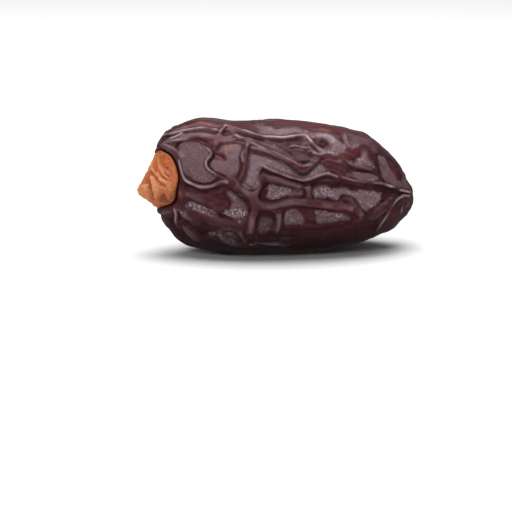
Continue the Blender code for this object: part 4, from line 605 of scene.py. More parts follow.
# Places with a grey bloom; the glint entries, the low streak and the upper swells use the bloom's colour as
# painted glints and painted sheen. Each: strength, how speckled, softness of the edge in pixels, outline
BLOOMS_AND_GLINTS = {
    "one": (0.7, 0.2, 0.7, PANELS["one"][2]),
    "one crumbs": (1.0, 1.2, 0.8, [
        (207, 149), (212, 151.5), (211, 156), (207, 160), (206, 165), (208.5, 169.5), (213, 172.5),
        (218, 176.5), (214, 177.5), (208, 173), (204, 169), (203, 163), (203.5, 158), (206.5, 154.5),
    ]),
    "two": (0.74, 0.2, 1.2, [
        (223, 144), (231, 141.5), (238, 142), (244, 144), (242.5, 148), (240.8, 152), (239.6, 156),
        (239.6, 160), (240.5, 165), (239.3, 169.5), (236.9, 173.3), (233, 176.4), (230, 177.6),
        (226.3, 176.4), (221.9, 173.9), (217.5, 172), (212.5, 170), (209, 167.6), (207.2, 164.5),
        (207.8, 161.4), (211, 158.5), (218, 158.5), (225, 160.5), (227, 157), (222, 151),
    ]),
    "two left": (0.35, 0.2, 2, [(213, 152), (216.5, 147), (221, 142), (226, 145), (224, 152), (218, 153.5)]),
    "boomerang": (1.15, 0.35, 0.7, PANELS["boomerang"][2]),
    "upright glint": (1.0, 0.8, 0.8, [
        (242.3, 155.5), (244.3, 158), (245, 162), (243.5, 163.5), (241.5, 160),
    ]),
    "slot": (2.3, 1.5, 1.0, PANELS["slot"][2]),
    "striped band": (0.28, 0.5, 2.5, PANELS["striped band"][2]),
    "upper glints": (0.8, 1.4, 1.2, [
        (246, 136.5), (250, 136.5), (257, 139.5), (259, 142), (253, 141.5), (247, 139),
    ]),
    "top left grey": (0.3, 0.1, 3, [
        (255, 120.5), (262, 121), (268, 127), (270, 134), (262, 132.5), (256, 127),
    ]),
    # painted sheen: the light on the raised folds along the top, in the two swells entries
    "upper swells": (0.5, 0.35, 3, [
        (262, 123), (268, 125), (276, 127.5), (290, 125.5), (302, 128), (312, 131.5), (315, 136),
        (308, 137), (296, 134), (270, 134), (258, 131),
    ]),
    "upper right swells": (0.9, 0.5, 2, [
        (316, 131.5), (326, 131.5), (334, 135.5), (340, 142), (350, 145), (345, 149.5), (338, 155),
        (329, 154), (320, 154.5), (314, 149), (320, 147.5), (328, 147), (330, 143), (326, 140),
        (320, 137), (315, 137),
    ]),
    "small right": (0.55, 0.25, 2, PANELS["small right"][2]),
    "small right glint": (1.0, 1.3, 1.2, [
        (307.5, 155.5), (312, 157), (315.5, 160.3), (311, 161), (308, 159),
    ]),
    "right pale": (0.45, 0.15, 3, [
        (345.5, 131), (349, 137), (355, 141), (361, 142.5), (358, 147.5), (353, 150), (348, 146), (345, 139),
    ]),
    "right upper": (0.35, 0.1, 4, [
        (350, 131.5), (360, 134), (370, 139), (378, 146), (376, 152), (368, 147), (358, 142), (350, 138),
    ]),
    "right mottled": (0.6, 0.6, 2.5, [
        (362, 149), (368, 148), (370, 153), (369, 158), (374, 161), (377, 166), (376.5, 169), (368, 167.5),
        (358, 166), (350, 164), (347, 161), (356, 161), (361, 157), (363, 153),
    ]),
    "red dip": (0.15, 0.2, 2, PANELS["red dip"][2]),
    "basin": (1.1, 0.8, 2, [
        (270, 184), (276, 184.5), (284, 186.5), (291, 188), (293.5, 190.5), (290, 194.5), (283.8, 197),
        (277.5, 199), (270, 199.5), (265.5, 197.5), (267, 192.5), (269.4, 187),
    ]),
    "basin glint": (1.0, 1.2, 1, [(300.5, 190.5), (304, 190), (304.5, 194), (302.5, 197), (300, 195.5)]),
    "basin right": (0.4, 0.5, 2, [(290, 188), (300, 189.5), (304, 192), (303, 197), (295, 198), (288, 197)]),
    "wide upper left": (0.5, 0.9, 2.5, [
        (313, 190), (318, 186), (325, 184.5), (332, 187), (330, 196), (322, 200), (314, 199),
    ]),
    "wide left": (1.15, 1.3, 1.5, [(313.5, 193), (318, 190.5), (321, 193.5), (320, 198.5), (314.5, 198)]),
    "wide": (0.95, 0.7, 2.5, [
        (321, 186), (328, 187), (333, 190), (338, 188), (345, 187.5), (352, 190.5), (358, 191), (368, 190.5),
        (378, 191.5), (384, 194.5), (386, 199), (380, 204), (373, 209), (366, 213.5), (361, 207.5),
        (356, 201), (350, 195), (345, 194.5), (341, 199), (336, 201.5), (330, 199), (325, 195.5),
        (321.5, 191),
    ]),
    "wide bright": (1.2, 0.9, 1.2, [
        (331, 190.5), (335, 189.5), (338, 194), (341, 198.5), (338, 201), (333, 198),
    ]),
    "belly left": (0.55, 0.4, 2, [
        (281.5, 224.5), (283.5, 216.5), (287, 210.5), (297, 208.5), (302, 213), (303, 219), (306, 225),
        (294, 226.8),
    ]),
    "belly right": (0.55, 0.35, 2, [
        (317, 218), (322, 214), (332, 214), (345, 215.5), (352, 219), (350, 221.5), (338, 223),
        (325, 224.5), (318, 225),
    ]),
    "belly speckles": (0.6, 1.2, 2, [
        (316, 211.5), (325, 211.5), (342, 214), (350, 218), (335, 217), (320, 217), (316, 215),
    ]),
    "lower left": (0.6, 0.35, 3, [
        (223, 190.5), (229, 190), (234, 193), (241, 200), (247, 206.5), (248.5, 211), (240, 212),
        (230, 211.5), (229, 206), (231, 203), (226, 197),
    ]),
    "lower left specks": (0.55, 1.3, 2, [
        (221, 213), (226, 209.5), (234, 210), (243, 209), (248, 211), (246.5, 217), (242, 222),
        (236, 221.5), (226, 218),
    ]),
    "lower left glint": (1.1, 1.5, 1.2, [
        (233, 217), (239, 216.5), (244.5, 217.5), (242.5, 221.5), (239.8, 223.5), (236, 220.5),
    ]),
    "lower left c": (0.35, 0.3, 3, [
        (183, 189), (192, 191), (204, 197.5), (216, 204.5), (214, 207), (202, 203), (190, 198.5), (183, 194),
    ]),
    "round": (0.3, 0.5, 2.5, [
        (259, 221), (265, 216.5), (272, 218), (275, 223.5), (273, 229), (267, 233), (261, 236), (257.5, 233),
        (258, 226),
    ]),
    "far right": (0.62, 0.2, 1.2, [
        (380.5, 155), (385.5, 156), (388.5, 161), (391.5, 167), (395, 173), (399, 179), (404, 184.5),
        (409, 189), (402, 187.5), (394, 184.5), (387, 182.5), (383.5, 179), (382, 170), (381, 162),
    ]),
    "apex strip": (0.75, 0.4, 1.5, PANELS["apex strip"][2]),
    "apex grey": (0.55, 0.1, 2, [
        (401.5, 166.5), (405, 172), (409, 180), (412, 189), (406, 188.5), (402, 184), (404, 178), (403, 171),
    ]),
    "lower right": (0.5, 0.3, 1.5, PANELS["lower right"][2]),
    "under cap": (0.25, 0.2, 1.5, PANELS["under cap"][2]),
    "lower left a": (0.5, 0.5, 2, [
        (177.5, 208.5), (184, 210), (190, 215), (194, 220.5), (189, 221.5), (182, 217), (178, 213),
    ]),
    "lower left b": (0.6, 0.3, 1.2, [
        (182, 226), (187, 227), (194, 233), (200, 241), (197, 243), (190, 237.5), (184, 232),
    ]),
    "left low": (0.22, 0.45, 3, [
        (217, 229), (228, 227.5), (240, 230), (245, 238), (246, 245), (236, 244), (225, 240), (217, 234),
    ]),
    "patch low": (0.5, 0.9, 2, PANELS["patch low"][2]),
    # painted glints along the bottom: the low glints, the low streak and the belly glints
    "low glints": (0.9, 1.5, 1.2, [(205, 235), (210, 232.5), (216, 233.5), (217, 236.5), (211, 237.5)]),
    "low streak": (0.8, 1.3, 1.5, [
        (216, 234), (224, 237), (232, 239.5), (238, 243.5), (236, 246), (228, 243), (220, 239.5),
    ]),
    "belly glints": (1.2, 1.5, 1, [
        (249, 245), (254, 243.5), (262, 242.5), (274, 243.5), (284, 243), (284, 244.8), (272, 245.8),
        (260, 245.5), (252, 247),
    ]),
    "lip": (0.45, 0.15, 3, [
        (156, 150), (160, 142), (168, 136), (180, 131), (196, 127.5), (212, 129), (220, 132), (214, 136.5),
        (200, 135), (190, 139), (178, 140), (168, 144), (176, 153), (178, 161), (170, 153), (161, 147),
    ]),
}

# Places where the skin is slate grey: softness of the edge in pixels, outline
SLATES = {
    "lip": (3, BLOOMS_AND_GLINTS["lip"][3]),
    "under cap": (3, BLOOMS_AND_GLINTS["under cap"][3]),
    "lower left a": (2, BLOOMS_AND_GLINTS["lower left a"][3]),
    "lower left b": (2, BLOOMS_AND_GLINTS["lower left b"][3]),
    "left low": (3, BLOOMS_AND_GLINTS["left low"][3]),
    "belly left": (2, BLOOMS_AND_GLINTS["belly left"][3]),
    "belly right": (2, BLOOMS_AND_GLINTS["belly right"][3]),
    "round": (2, BLOOMS_AND_GLINTS["round"][3]),
    "collar": (2, [
        (176, 160), (180, 163), (183, 171), (186, 178), (193, 184), (204, 187), (214, 184.5), (226, 181),
        (234, 182), (226, 184.5), (214, 188), (204, 190), (191, 187), (183, 181), (179, 173), (176, 166),
    ]),
}

# Places where the skin is dull and painted darker as shade: softness of the edge in pixels, outline
MATTS = {
    "striped": (3, [
        (238, 130), (250, 134), (262, 138), (276, 140.5), (290, 142.5), (300, 149), (309, 157), (306, 163),
        (295, 161), (282, 154.5), (268, 148.5), (254, 142.5), (245, 138),
    ]),
    "hollow": (3, PANELS["right hollow"][2]),
    "small right": (3, PANELS["small right"][2]),
    "below long": (3, [
        (268, 122), (284, 121.5), (300, 123), (312, 126), (300, 128), (284, 126), (272, 126),
    ]),
    "below collar": (3, [
        (181, 190), (190, 190), (204, 193), (219, 200), (229, 206), (222, 208), (206, 201.5), (190, 196),
    ]),
    "red dip": (3, PANELS["red dip"][2]),
    "middle band": (2, [
        (260, 203), (275, 203), (292, 201), (305, 200), (330, 202), (350, 204), (350, 210), (330, 208.5),
        (305, 206.5), (290, 208), (275, 209.5), (262, 208),
    ]),
    "belly": (3, [
        (282, 228), (300, 228), (320, 226.5), (350, 223), (372, 219), (384, 214), (380, 228), (356, 240),
        (320, 248), (290, 250), (282, 240),
    ]),
    "below slot": (3, [
        (180, 208), (186, 211), (200, 217), (214, 220), (224, 224), (240, 227), (264, 240), (262, 248),
        (240, 242), (222, 230), (204, 227), (192, 222),
    ]),
    "basin rim": (2, [
        (256, 174), (264, 175), (280, 178), (296, 181), (306, 184), (306, 189), (296, 186), (280, 183.5),
        (268, 182), (262, 184), (257, 182),
    ]),
    "round rim": (3, [(255, 212), (265, 210), (276, 212), (279, 224), (275, 236), (262, 240), (256, 228)]),
}

# Two networks of folds for the sides that the view doesn't show: how much longer than wide their
# fields are, how wide, how high the folds between them, and how unlike their levels
WIDE_FIELDS = (2.5, 3.9, 0.8, 0.32)
NARROW_FIELDS = (1.9, 2.4, 0.26, 0.08)

# How far, and over which size, the networks' folds are bent, coarsely and finely; how round a fold's
# crest is and where it lies, how wide a fold is, and how wide the fields' levels blend
COARSE_BEND = (1.7, 4.5)
FINE_BEND = (0.45, 1.7)
FOLD_ROUNDNESS = 0.06
FOLD_CROWN = 0.245
FOLD_WIDTH = 0.3
LEVEL_BLEND = 0.6


def smoothstep(low, high, value):
    """Ease from 0 at low to 1 at high."""
    share = np.clip((value - low) / (high - low), 0.0, 1.0)
    return share * share * (3.0 - 2.0 * share)


def lattice_value(cells, seed):
    """A steady random number from -1 to 1 for every corner of a whole-number lattice."""
    mixed = cells[:, 0] * 73856093 + cells[:, 1] * 19349663 + cells[:, 2] * 83492791 + seed * 6971
    mixed = (mixed & 0x7FFFFFFF) * 1103515 + 12345
    mixed = (mixed ^ (mixed >> 15)) & 0x7FFFFFFF
    mixed = (mixed * 69069 + 7) & 0x7FFFFFFF
    mixed = mixed ^ (mixed >> 11)
    return (mixed & 0xFFFF) / 32767.5 - 1.0


def noise(points, size, seed):
    """Smooth random field over points, with swells about one size across."""
    scaled = points / size
    corner = np.floor(scaled).astype(np.int64)
    share = scaled - corner
    share = share * share * (3.0 - 2.0 * share)
    total = np.zeros(len(points))
    for offset in np.ndindex(2, 2, 2):
        weight = np.ones(len(points))
        for axis in range(3):
            weight *= share[:, axis] if offset[axis] else 1.0 - share[:, axis]
        total += weight * lattice_value(corner + np.array(offset), seed)
    return total


def view_axes():
    """Right, up and back of the view as unit vectors."""
    back = np.array([
        math.sin(VIEW_TURN) * math.cos(VIEW_RISE),
        -math.cos(VIEW_TURN) * math.cos(VIEW_RISE),
        math.sin(VIEW_RISE),
    ])
    right = np.array([math.cos(VIEW_TURN), math.sin(VIEW_TURN), 0.0])
    return right, np.cross(back, right), back


def view_point():
    """Where the view is taken from, with the middle of the fruit at the origin."""
    right, up, back = view_axes()
    aside = (VIEW_MIDDLE[0] - FRUIT_MIDDLE[0]) / PX_PER_MM
    below = (FRUIT_MIDDLE[1] - VIEW_MIDDLE[1]) / PX_PER_MM
    return right * aside + up * below + back * VIEW_DISTANCE


def view_ray(pixel):
    """Direction of sight through a pixel."""
    right, up, back = view_axes()
    focal = PX_PER_MM * VIEW_DISTANCE
    ray = -back + right * (pixel[0] - VIEW_MIDDLE[0]) / focal + up * (VIEW_MIDDLE[1] - pixel[1]) / focal
    return ray / np.linalg.norm(ray)


def to_pixels(points):
    """Pixels at which points are seen."""
    right, up, back = view_axes()
    offset = points - view_point()
    depth = -(offset @ back)
    focal = PX_PER_MM * VIEW_DISTANCE
    across = VIEW_MIDDLE[0] + focal * (offset @ right) / depth
    down = VIEW_MIDDLE[1] - focal * (offset @ up) / depth
    return np.stack([across, down], axis=1)


def body_axes():
    """Directions of u, v and w; the apex hangs a little lower than the stem end."""
    along = np.array([math.cos(AXIS_FALL), 0.0, -math.sin(AXIS_FALL)])
    aside = np.array([0.0, 1.0, 0.0])
    above = np.array([math.sin(AXIS_FALL), 0.0, math.cos(AXIS_FALL)])
    return along, aside, above


def from_body(u, v, w):
    """Points from their body coordinates."""
    along, aside, above = body_axes()
    return np.outer(u, along) + np.outer(v, aside) + np.outer(w, above)


def side_place(pixel):
    """Places along and above the fruit's axis for a pixel of its outline."""
    dx = pixel[0] - FRUIT_MIDDLE[0]
    dy = pixel[1] - FRUIT_MIDDLE[1]
    along = dx * math.cos(AXIS_SLOPE) + dy * math.sin(AXIS_SLOPE)
    above = dx * math.sin(AXIS_SLOPE) - dy * math.cos(AXIS_SLOPE)
    return along / (PX_PER_MM * math.cos(VIEW_TURN)), above / PX_PER_MM


def outline_radius(outline, side):
    """Distance from the axis over the angle along the body; side is 1 above the axis and -1 below it."""
    places = [side_place(pixel) for pixel in outline]
    angles = [body_angle(u) for u, _ in places]
    radii = [side * (w - AXIS_RAISE) for _, w in places]
    return smooth_profile(angles, radii)


def body_angle(u):
    """Angle from 0 at the stem pole to pi at the apex that belongs to a place along the axis."""
    middle = (STEM_POLE_U + APEX_POLE_U) / 2.0
    half = (APEX_POLE_U - STEM_POLE_U) / 2.0
    return math.acos(max(-1.0, min(1.0, (middle - u) / half)))


def smooth_profile(angles, radii):
    """A smooth list of radii over even steps of the angle, 0 at both poles."""
    steps = 400
    reach = 60
    spread = 9.0
    even = np.linspace(0.0, math.pi, steps + 1)
    values = np.interp(even, [0.0] + angles + [math.pi], [0.0] + radii + [0.0])
    padded = np.concatenate([-values[reach:0:-1], values, -values[-2:-reach - 2:-1]])
    kernel = np.exp(-0.5 * (np.arange(-reach, reach + 1) / spread) ** 2)
    return np.convolve(padded, kernel / kernel.sum(), mode="valid")


def body_profiles():
    """Top, bottom and side radii over the angle along the body."""
    side_angles = [body_angle(STEM_POLE_U + distance) for distance, _ in SIDE_OUTLINE]
    side_radii = [radius for _, radius in SIDE_OUTLINE]
    return {
        "top": outline_radius(TOP_OUTLINE, 1),
        "bottom": outline_radius(BOTTOM_OUTLINE, -1),
        "side": smooth_profile(side_angles, side_radii),
    }


def profile_angles(share, profiles):
    """Angle along the body for a share of the way over its surface from pole to pole."""
    even = np.linspace(0.0, math.pi, len(profiles["side"]))
    u = -np.cos(even) * (APEX_POLE_U - STEM_POLE_U) / 2.0
    radius = (profiles["side"] * 2.0 + profiles["top"] + profiles["bottom"]) / 4.0
    travelled = np.concatenate([[0.0], np.cumsum(np.hypot(np.diff(u), np.diff(radius)))])
    return np.interp(share * travelled[-1], travelled, even)


def smooth_body(share, turn, profiles):
    """Points of the smooth body for the share from pole to pole and the turn round the axis."""
    angle = profile_angles(share, profiles)
    even = np.linspace(0.0, math.pi, len(profiles["side"]))
    upper = np.interp(angle, even, profiles["top"])
    lower = np.interp(angle, even, profiles["bottom"])
    side = np.interp(angle, even, profiles["side"])
    cosine = np.cos(turn)
    sine = np.sin(turn)
    fullness = (np.abs(cosine) ** SECTION_POWER + np.abs(sine) ** SECTION_POWER) ** (-1.0 / SECTION_POWER)
    tall = np.where(cosine > 0.0, upper, lower)
    middle = (STEM_POLE_U + APEX_POLE_U) / 2.0
    u = middle - np.cos(angle) * (APEX_POLE_U - STEM_POLE_U) / 2.0
    return from_body(u, side * fullness * sine, tall * fullness * cosine + AXIS_RAISE)


def block_mesh(cuts_along, cuts_round):
    """A cube cut into even squares, to be bent round a closed body."""
    mesh = bmesh.new()
    bmesh.ops.create_cube(mesh, size=2.0)
    lengthwise = [edge for edge in mesh.edges if abs(edge.verts[0].co.x - edge.verts[1].co.x) > 1.0]
    bmesh.ops.subdivide_edges(mesh, edges=lengthwise, cuts=cuts_along - 1, use_grid_fill=True)
    crosswise = [edge for edge in mesh.edges if abs(edge.verts[0].co.x - edge.verts[1].co.x) < 1e-4]
    bmesh.ops.subdivide_edges(mesh, edges=crosswise, cuts=cuts_round - 1, use_grid_fill=True)
    return mesh


def block_coordinates(mesh):
    """Place of every vertex on the cut cube."""
    return np.array([vertex.co[:] for vertex in mesh.verts], dtype=float)


def share_and_turn(cube):
    """Share of the way from pole to pole and turn round the axis for places on the cube."""
    x, y, z = cube[:, 0], cube[:, 1], cube[:, 2]
    far = np.maximum(np.abs(y), np.abs(z))
    share = np.where(
        far > 1.0 - 1e-5,
        CAP_SHARE + (x + 1.0) / 2.0 * (1.0 - 2.0 * CAP_SHARE),
        np.where(x < 0.0, CAP_SHARE * far, 1.0 - CAP_SHARE * far),
    )
    upright = np.abs(z) >= np.abs(y)
    safe_z = np.where(np.abs(z) < 1e-9, 1e-9, z)
    safe_y = np.where(np.abs(y) < 1e-9, 1e-9, y)
    by_height = math.pi / 4.0 * y / safe_z + np.where(z < 0.0, math.pi, 0.0)
    by_side = np.where(y > 0.0, math.pi / 2.0, -math.pi / 2.0) - math.pi / 4.0 * z / safe_y
    turn = np.where(upright, by_height, by_side)
    return share, turn - CROWDING * np.sin(turn - SHOWN_TURN)


def corner_indices(mesh):
    """Vertex numbers of every face, as triangles."""
    mesh.verts.index_update()
    corners = []
    for face in mesh.faces:
        ids = [vertex.index for vertex in face.verts]
        for k in range(1, len(ids) - 1):
            corners.append((ids[0], ids[k], ids[k + 1]))
    return np.array(corners)


def vertex_normals(points, corners):
    """Outward unit normal at every vertex."""
    a, b, c = points[corners[:, 0]], points[corners[:, 1]], points[corners[:, 2]]
    face_normals = np.cross(b - a, c - a)
    normals = np.zeros_like(points)
    for k in range(3):
        for axis in range(3):
            added = np.bincount(corners[:, k], weights=face_normals[:, axis], minlength=len(points))
            normals[:, axis] += added
    return normals / np.linalg.norm(normals, axis=1)[:, None]


def surface_tree(points, corners):
    """Search tree over a surface, for casting rays at it."""
    triangles = [tuple(int(index) for index in corner) for corner in corners]
    return BVHTree.FromPolygons([Vector(point) for point in points], triangles)


def cast_pixel(tree, pixel):
    """The place on a surface that is seen at a pixel, or the nearest place where the ray passes it by."""
    start = view_point()
    ray = view_ray(pixel)
    hit = tree.ray_cast(Vector(start), Vector(ray))[0]
    if hit is None:
        closest_way = -float(start @ ray)
        hit = tree.find_nearest(Vector(start + ray * closest_way))[0]
    return np.array(hit[:])


def smooth_path(pixels, rounds=2):
    """Corners of a line of pixels rounded off by cutting them."""
    path = [np.array(pixel, dtype=float) for pixel in pixels]
    for _ in range(rounds):
        cut = [path[0]]
        for first, second in zip(path[:-1], path[1:]):
            cut.append(first * 0.75 + second * 0.25)
            cut.append(first * 0.25 + second * 0.75)
        cut.append(path[-1])
        path = cut
    return path


def distance_to_path(points, path):
    """Distance of every point to a line of points, and how far along it the nearest place is."""
    path = np.array(path)
    steps = path[1:] - path[:-1]
    lengths = np.linalg.norm(steps, axis=1)
    before = np.concatenate([[0.0], np.cumsum(lengths)])[:-1]
    nearest = np.full(len(points), 1e9)
    along = np.zeros(len(points))
    for start, step, length, travelled in zip(path[:-1], steps, lengths, before):
        if length < 1e-6:
            continue
        share = np.clip(((points - start) @ step) / length ** 2, 0.0, 1.0)
        distance = np.linalg.norm(points - start - share[:, None] * step, axis=1)
        closer = distance < nearest
        nearest = np.where(closer, distance, nearest)
        along = np.where(closer, travelled + share * length, along)
    return nearest, along, lengths.sum()


def slant_share(tree, pixels):
    """How narrow a line looks against its real width where its surface slants away from the viewer."""
    shares = []
    for first, second in zip(pixels[:-1], pixels[1:]):
        ray = view_ray(first)
        place, normal = tree.ray_cast(Vector(view_point()), Vector(ray))[:2]
        if place is not None:
            across = np.cross(normal, cast_pixel(tree, second) - np.array(place[:]))
            across /= np.linalg.norm(across)
            shares.append(math.sqrt(max(0.0, 1.0 - float(across @ ray) ** 2)))
    return max(LEAST_SLANT, float(np.mean(shares))) if shares else 1.0


def line_profile(points, tree, width_px, pixels):
    """A rounded profile from 0 to 1 across a line of pixels, tapering to its ends."""
    path = [cast_pixel(tree, pixel) for pixel in smooth_path(pixels)]
    width = width_px / PX_PER_MM / slant_share(tree, pixels)
    reach = LINE_REACH * width
    low = np.min(path, axis=0) - reach
    high = np.max(path, axis=0) + reach
    near = np.nonzero(np.all((points > low) & (points < high), axis=1))[0]
    profile = np.zeros(len(points))
    if len(near) == 0:
        return profile
    distance, along, length = distance_to_path(points[near], path)
    taper = min(END_TAPER * width, LONGEST_TAPER * length)
    ends = smoothstep(0.0, taper, along) * smoothstep(0.0, taper, length - along)
    across = np.clip(distance / reach, 0.0, 1.0)
    power = FLAT_POWER if width_px >= FLAT_FROM_PX else ROUND_POWER
    profile[near] = (1.0 - across ** power) ** 2 * (END_HEIGHT + (1.0 - END_HEIGHT) * ends)
    return profile


def near_outline(seen, outline, margin):
    """Whether seen places lie in the box round an outline, grown by a margin."""
    low = np.min(outline, axis=0) - margin
    high = np.max(outline, axis=0) + margin
    return np.all((seen > low) & (seen < high), axis=1)


def wandering(points, reach, size, seed):
    """Points moved a little to and fro, so that folds don't run as smooth as their lines."""
    return points + reach * np.stack([noise(points, size, seed + k) for k in range(3)], axis=1)


def outline_depth(seen, outline):
    """Distance in pixels inside a closed outline; negative outside."""
    corners = np.array(smooth_path(list(outline) + [outline[0]]))
    inside = np.zeros(len(seen), dtype=bool)
    nearest = np.full(len(seen), 1e9)
    for first, second in zip(corners, np.roll(corners, -1, axis=0)):
        step = second - first
        squared = float(step @ step)
        if squared < 1e-9:
            continue
        share = np.clip(((seen - first) @ step) / squared, 0.0, 1.0)
        nearest = np.minimum(nearest, np.linalg.norm(seen - first - share[:, None] * step, axis=1))
        crosses = (first[1] > seen[:, 1]) != (second[1] > seen[:, 1])
        rise = second[1] - first[1]
        if abs(rise) > 1e-9:
            at = first[0] + (seen[:, 1] - first[1]) / rise * step[0]
            inside ^= crosses & (seen[:, 0] < at)
    return np.where(inside, nearest, -nearest)


def sunken_fields(points, normals):
    """Depth of the sunken fields that the view shows, in millimetres, and the painted shade along their
    edges.
    """
    seen = to_pixels(points)
    facing = normals @ view_axes()[2] > SHOWN_FROM
    sunk = np.zeros(len(points))
    edges = np.zeros(len(points))
    for name, (depth, slope, outline) in PANELS.items():
        near = np.nonzero(facing & near_outline(seen, outline, SHOULDER_PX))[0]
        if len(near):
            waver = WAVER_PX * noise(points[near], WAVER_SIZE, len(name))
            inside = outline_depth(seen[near], outline) + waver
            wall = WALL_SHARE * smoothstep(-0.5 * slope, 0.5 * slope, inside)
            wall += (1.0 - WALL_SHARE) * smoothstep(-SHOULDER_PX, SHOULDER_INNER_PX, inside)
            line = (inside + EDGE_LINE_OUT_PX) / (EDGE_LINE_PX + EDGE_LINE_SPREAD * slope)
            sunk[near] = np.maximum(sunk[near], depth * wall)
            edges[near] = np.maximum(edges[near], np.exp(-line ** 2))
    return sunk, edges


def pressed_lines(bent, tree):
    """Depth of the lines pressed in beside the folds, in millimetres."""
    pressed = np.zeros(len(bent))
    for width, depth, pixels in CREASES.values():
        pressed = np.maximum(pressed, depth * line_profile(bent, tree, width, pixels))
    return pressed


def raised_folds(points, bent, tree):
    """Height of the folds that the view shows, in millimetres, and the painted highlights along their
    crests.
    """
    raised = np.zeros(len(points))
    pale = np.zeros(len(points))
    for name, (width, height, pixels) in RIDGES.items():
        profile = line_profile(bent, tree, width, pixels)
        raised += (height * profile) ** 3
        if name in CREST_HIGHLIGHTS:
            sharpness = max(LEAST_SHARPNESS, HIGHLIGHT_SHARPNESS * width ** 2)
            pale = np.maximum(pale, CREST_HIGHLIGHTS[name] * profile ** sharpness)
    uneven = 1.0 + UNEVEN_SHARE * noise(points, UNEVEN_SIZE, SEED + 90)
    pale *= smoothstep(-0.7, 0.3, noise(points, 1.3, SEED + 91))
    return np.cbrt(raised) * uneven, pale


def cap_edge(tree):
    """Turn round the axis and distance from it along the dried cap's shown edge, from top to bottom."""
    _, aside, above = body_axes()
    places = np.array([cast_pixel(tree, pixel) for pixel in CAP_EDGE])
    v = places @ aside
    w = places @ above - CAP_MIDDLE_W
    turn = np.abs(np.arctan2(v, w))
    order = np.argsort(turn)
    return turn[order], np.hypot(v, w)[order]


def spread_seeds(points, spacing, seed):
    """Places at least one spacing apart, taken in random order."""
    order = np.random.default_rng(seed).permutation(len(points))[:SEEDING_POINTS]
    chosen = []
    for index in order:
        place = points[index]
        if all(np.sum((place - other) ** 2) > spacing ** 2 for other in chosen):
            chosen.append(place)
    return np.array(chosen)


def nearest_seeds(points, seeds):
    """For every point, its nearest two seeds and the distances to them."""
    tree = KDTree(len(seeds))
    for index, seed in enumerate(seeds):
        tree.insert(Vector(seed), index)
    tree.balance()
    order = np.zeros((len(points), 2), dtype=int)
    apart = np.zeros((len(points), 2))
    for row, point in enumerate(points):
        for column, found in enumerate(tree.find_n(Vector(point), 2)):
            order[row, column] = found[1]
            apart[row, column] = found[2]
    return order, apart


def shortened(points, stretch):
    """Points drawn together along the fruit, so that what is even there gets longer than wide."""
    along = body_axes()[0]
    return points - np.outer(points @ along, along) * (1.0 - 1.0 / stretch)


def fold_network(points, sources, fields, seed):
    """Height of a network of folds with sunken fields between them, and how far inside a field."""
    stretch, spacing, height, step = fields
    bent = wandering(points, *COARSE_BEND, seed)
    bent += wandering(points, *FINE_BEND, seed + 10) - points
    seeds = spread_seeds(shortened(sources, stretch), spacing, seed)
    steps = np.random.default_rng(seed + 5).uniform(-1.0, 1.0, len(seeds))
    order, apart = nearest_seeds(shortened(bent, stretch), seeds)
    between = np.linalg.norm(seeds[order[:, 0]] - seeds[order[:, 1]], axis=1)
    edge = (apart[:, 1] ** 2 - apart[:, 0] ** 2) / (2.0 * between)
    strength = 0.15 + 0.85 * smoothstep(-0.4, 0.4, noise(points, 4.0, seed + 9))
    rounded = np.sqrt(edge ** 2 + FOLD_ROUNDNESS) - FOLD_CROWN
    ridge = height * strength * np.exp(-rounded / FOLD_WIDTH)
    blend = smoothstep(0.0, LEVEL_BLEND, edge)
    level = steps[order].mean(axis=1) * (1.0 - blend) + steps[order[:, 0]] * blend
    return ridge + step * level, smoothstep(0.25, 0.8, edge)


def wrinkles(points):
    """Shallow wrinkles that run along the fruit, about -1 to 1."""
    along = body_axes()[0]
    drawn_out = points - 0.68 * np.outer(points @ along, along)
    bent = wandering(drawn_out, 0.45, 1.5, SEED + 96)
    return 1.0 - 2.6 * np.abs(noise(bent, WRINKLE_SIZE, SEED + 95))


def hidden_relief(points, sources, normals):
    """Height of the folds on the sides that the view doesn't show, calmer along the outline that it
    does show; and the sunken fields' share."""
    wide, inside = fold_network(points, sources, WIDE_FIELDS, SEED)
    narrow, inside_narrow = fold_network(points, sources, NARROW_FIELDS, SEED + 50)
    patches = smoothstep(-0.25, 0.35, noise(points, 6.0, SEED + 70))
    low = smoothstep(0.5, 0.1, wide)
    calm = 0.3 + 0.7 * smoothstep(0.1, -0.35, normals @ view_axes()[2])
    height = calm * (wide + narrow * low * patches) + WRINKLE_HEIGHT * wrinkles(points) - SKIN_DROP
    return height, inside * (1.0 - 0.6 * patches * (1.0 - inside_narrow))


def cap_reach(v, w, edge):
    """Distance of the dried cap's edge from the axis in the direction of v and w."""
    turn = np.arctan2(v, w - CAP_MIDDLE_W)
    reach = np.interp(np.abs(turn), *edge)
    hidden = 1.0 - (1.0 - CAP_BACK_SHARE) * smoothstep(0.0, 0.8, np.sin(turn + CAP_BACK_TURN))
    return reach * hidden + CAP_RAGGED * np.sin(9.0 * turn + 2.0)


def cap_crest(w):
    """How far out along the axis the dried cap's outline lies at a height."""
    crest = sorted((height, u) for u, height in map(side_place, CAP_OUTLINE))
    return np.interp(w, [height for height, _ in crest], [u for _, u in crest])


def dish_height(points, edge):
    """Shallow dish under the dried cap, with the skin's raised lip around it; and where it rules."""
    along, aside, above = body_axes()
    v = points @ aside
    w = points @ above
    ratio = np.hypot(v, w - CAP_MIDDLE_W) / cap_reach(v, w, edge)
    at_stem = points @ along < 0.0
    lip = LIP_HEIGHT * np.exp(-((ratio - LIP_PLACE) / LIP_WIDTH) ** 2)
    height = lip - DISH_DEPTH * smoothstep(DISH_WALL, 1.0, ratio)
    return height * at_stem, smoothstep(*DISH_RULES, ratio) * at_stem


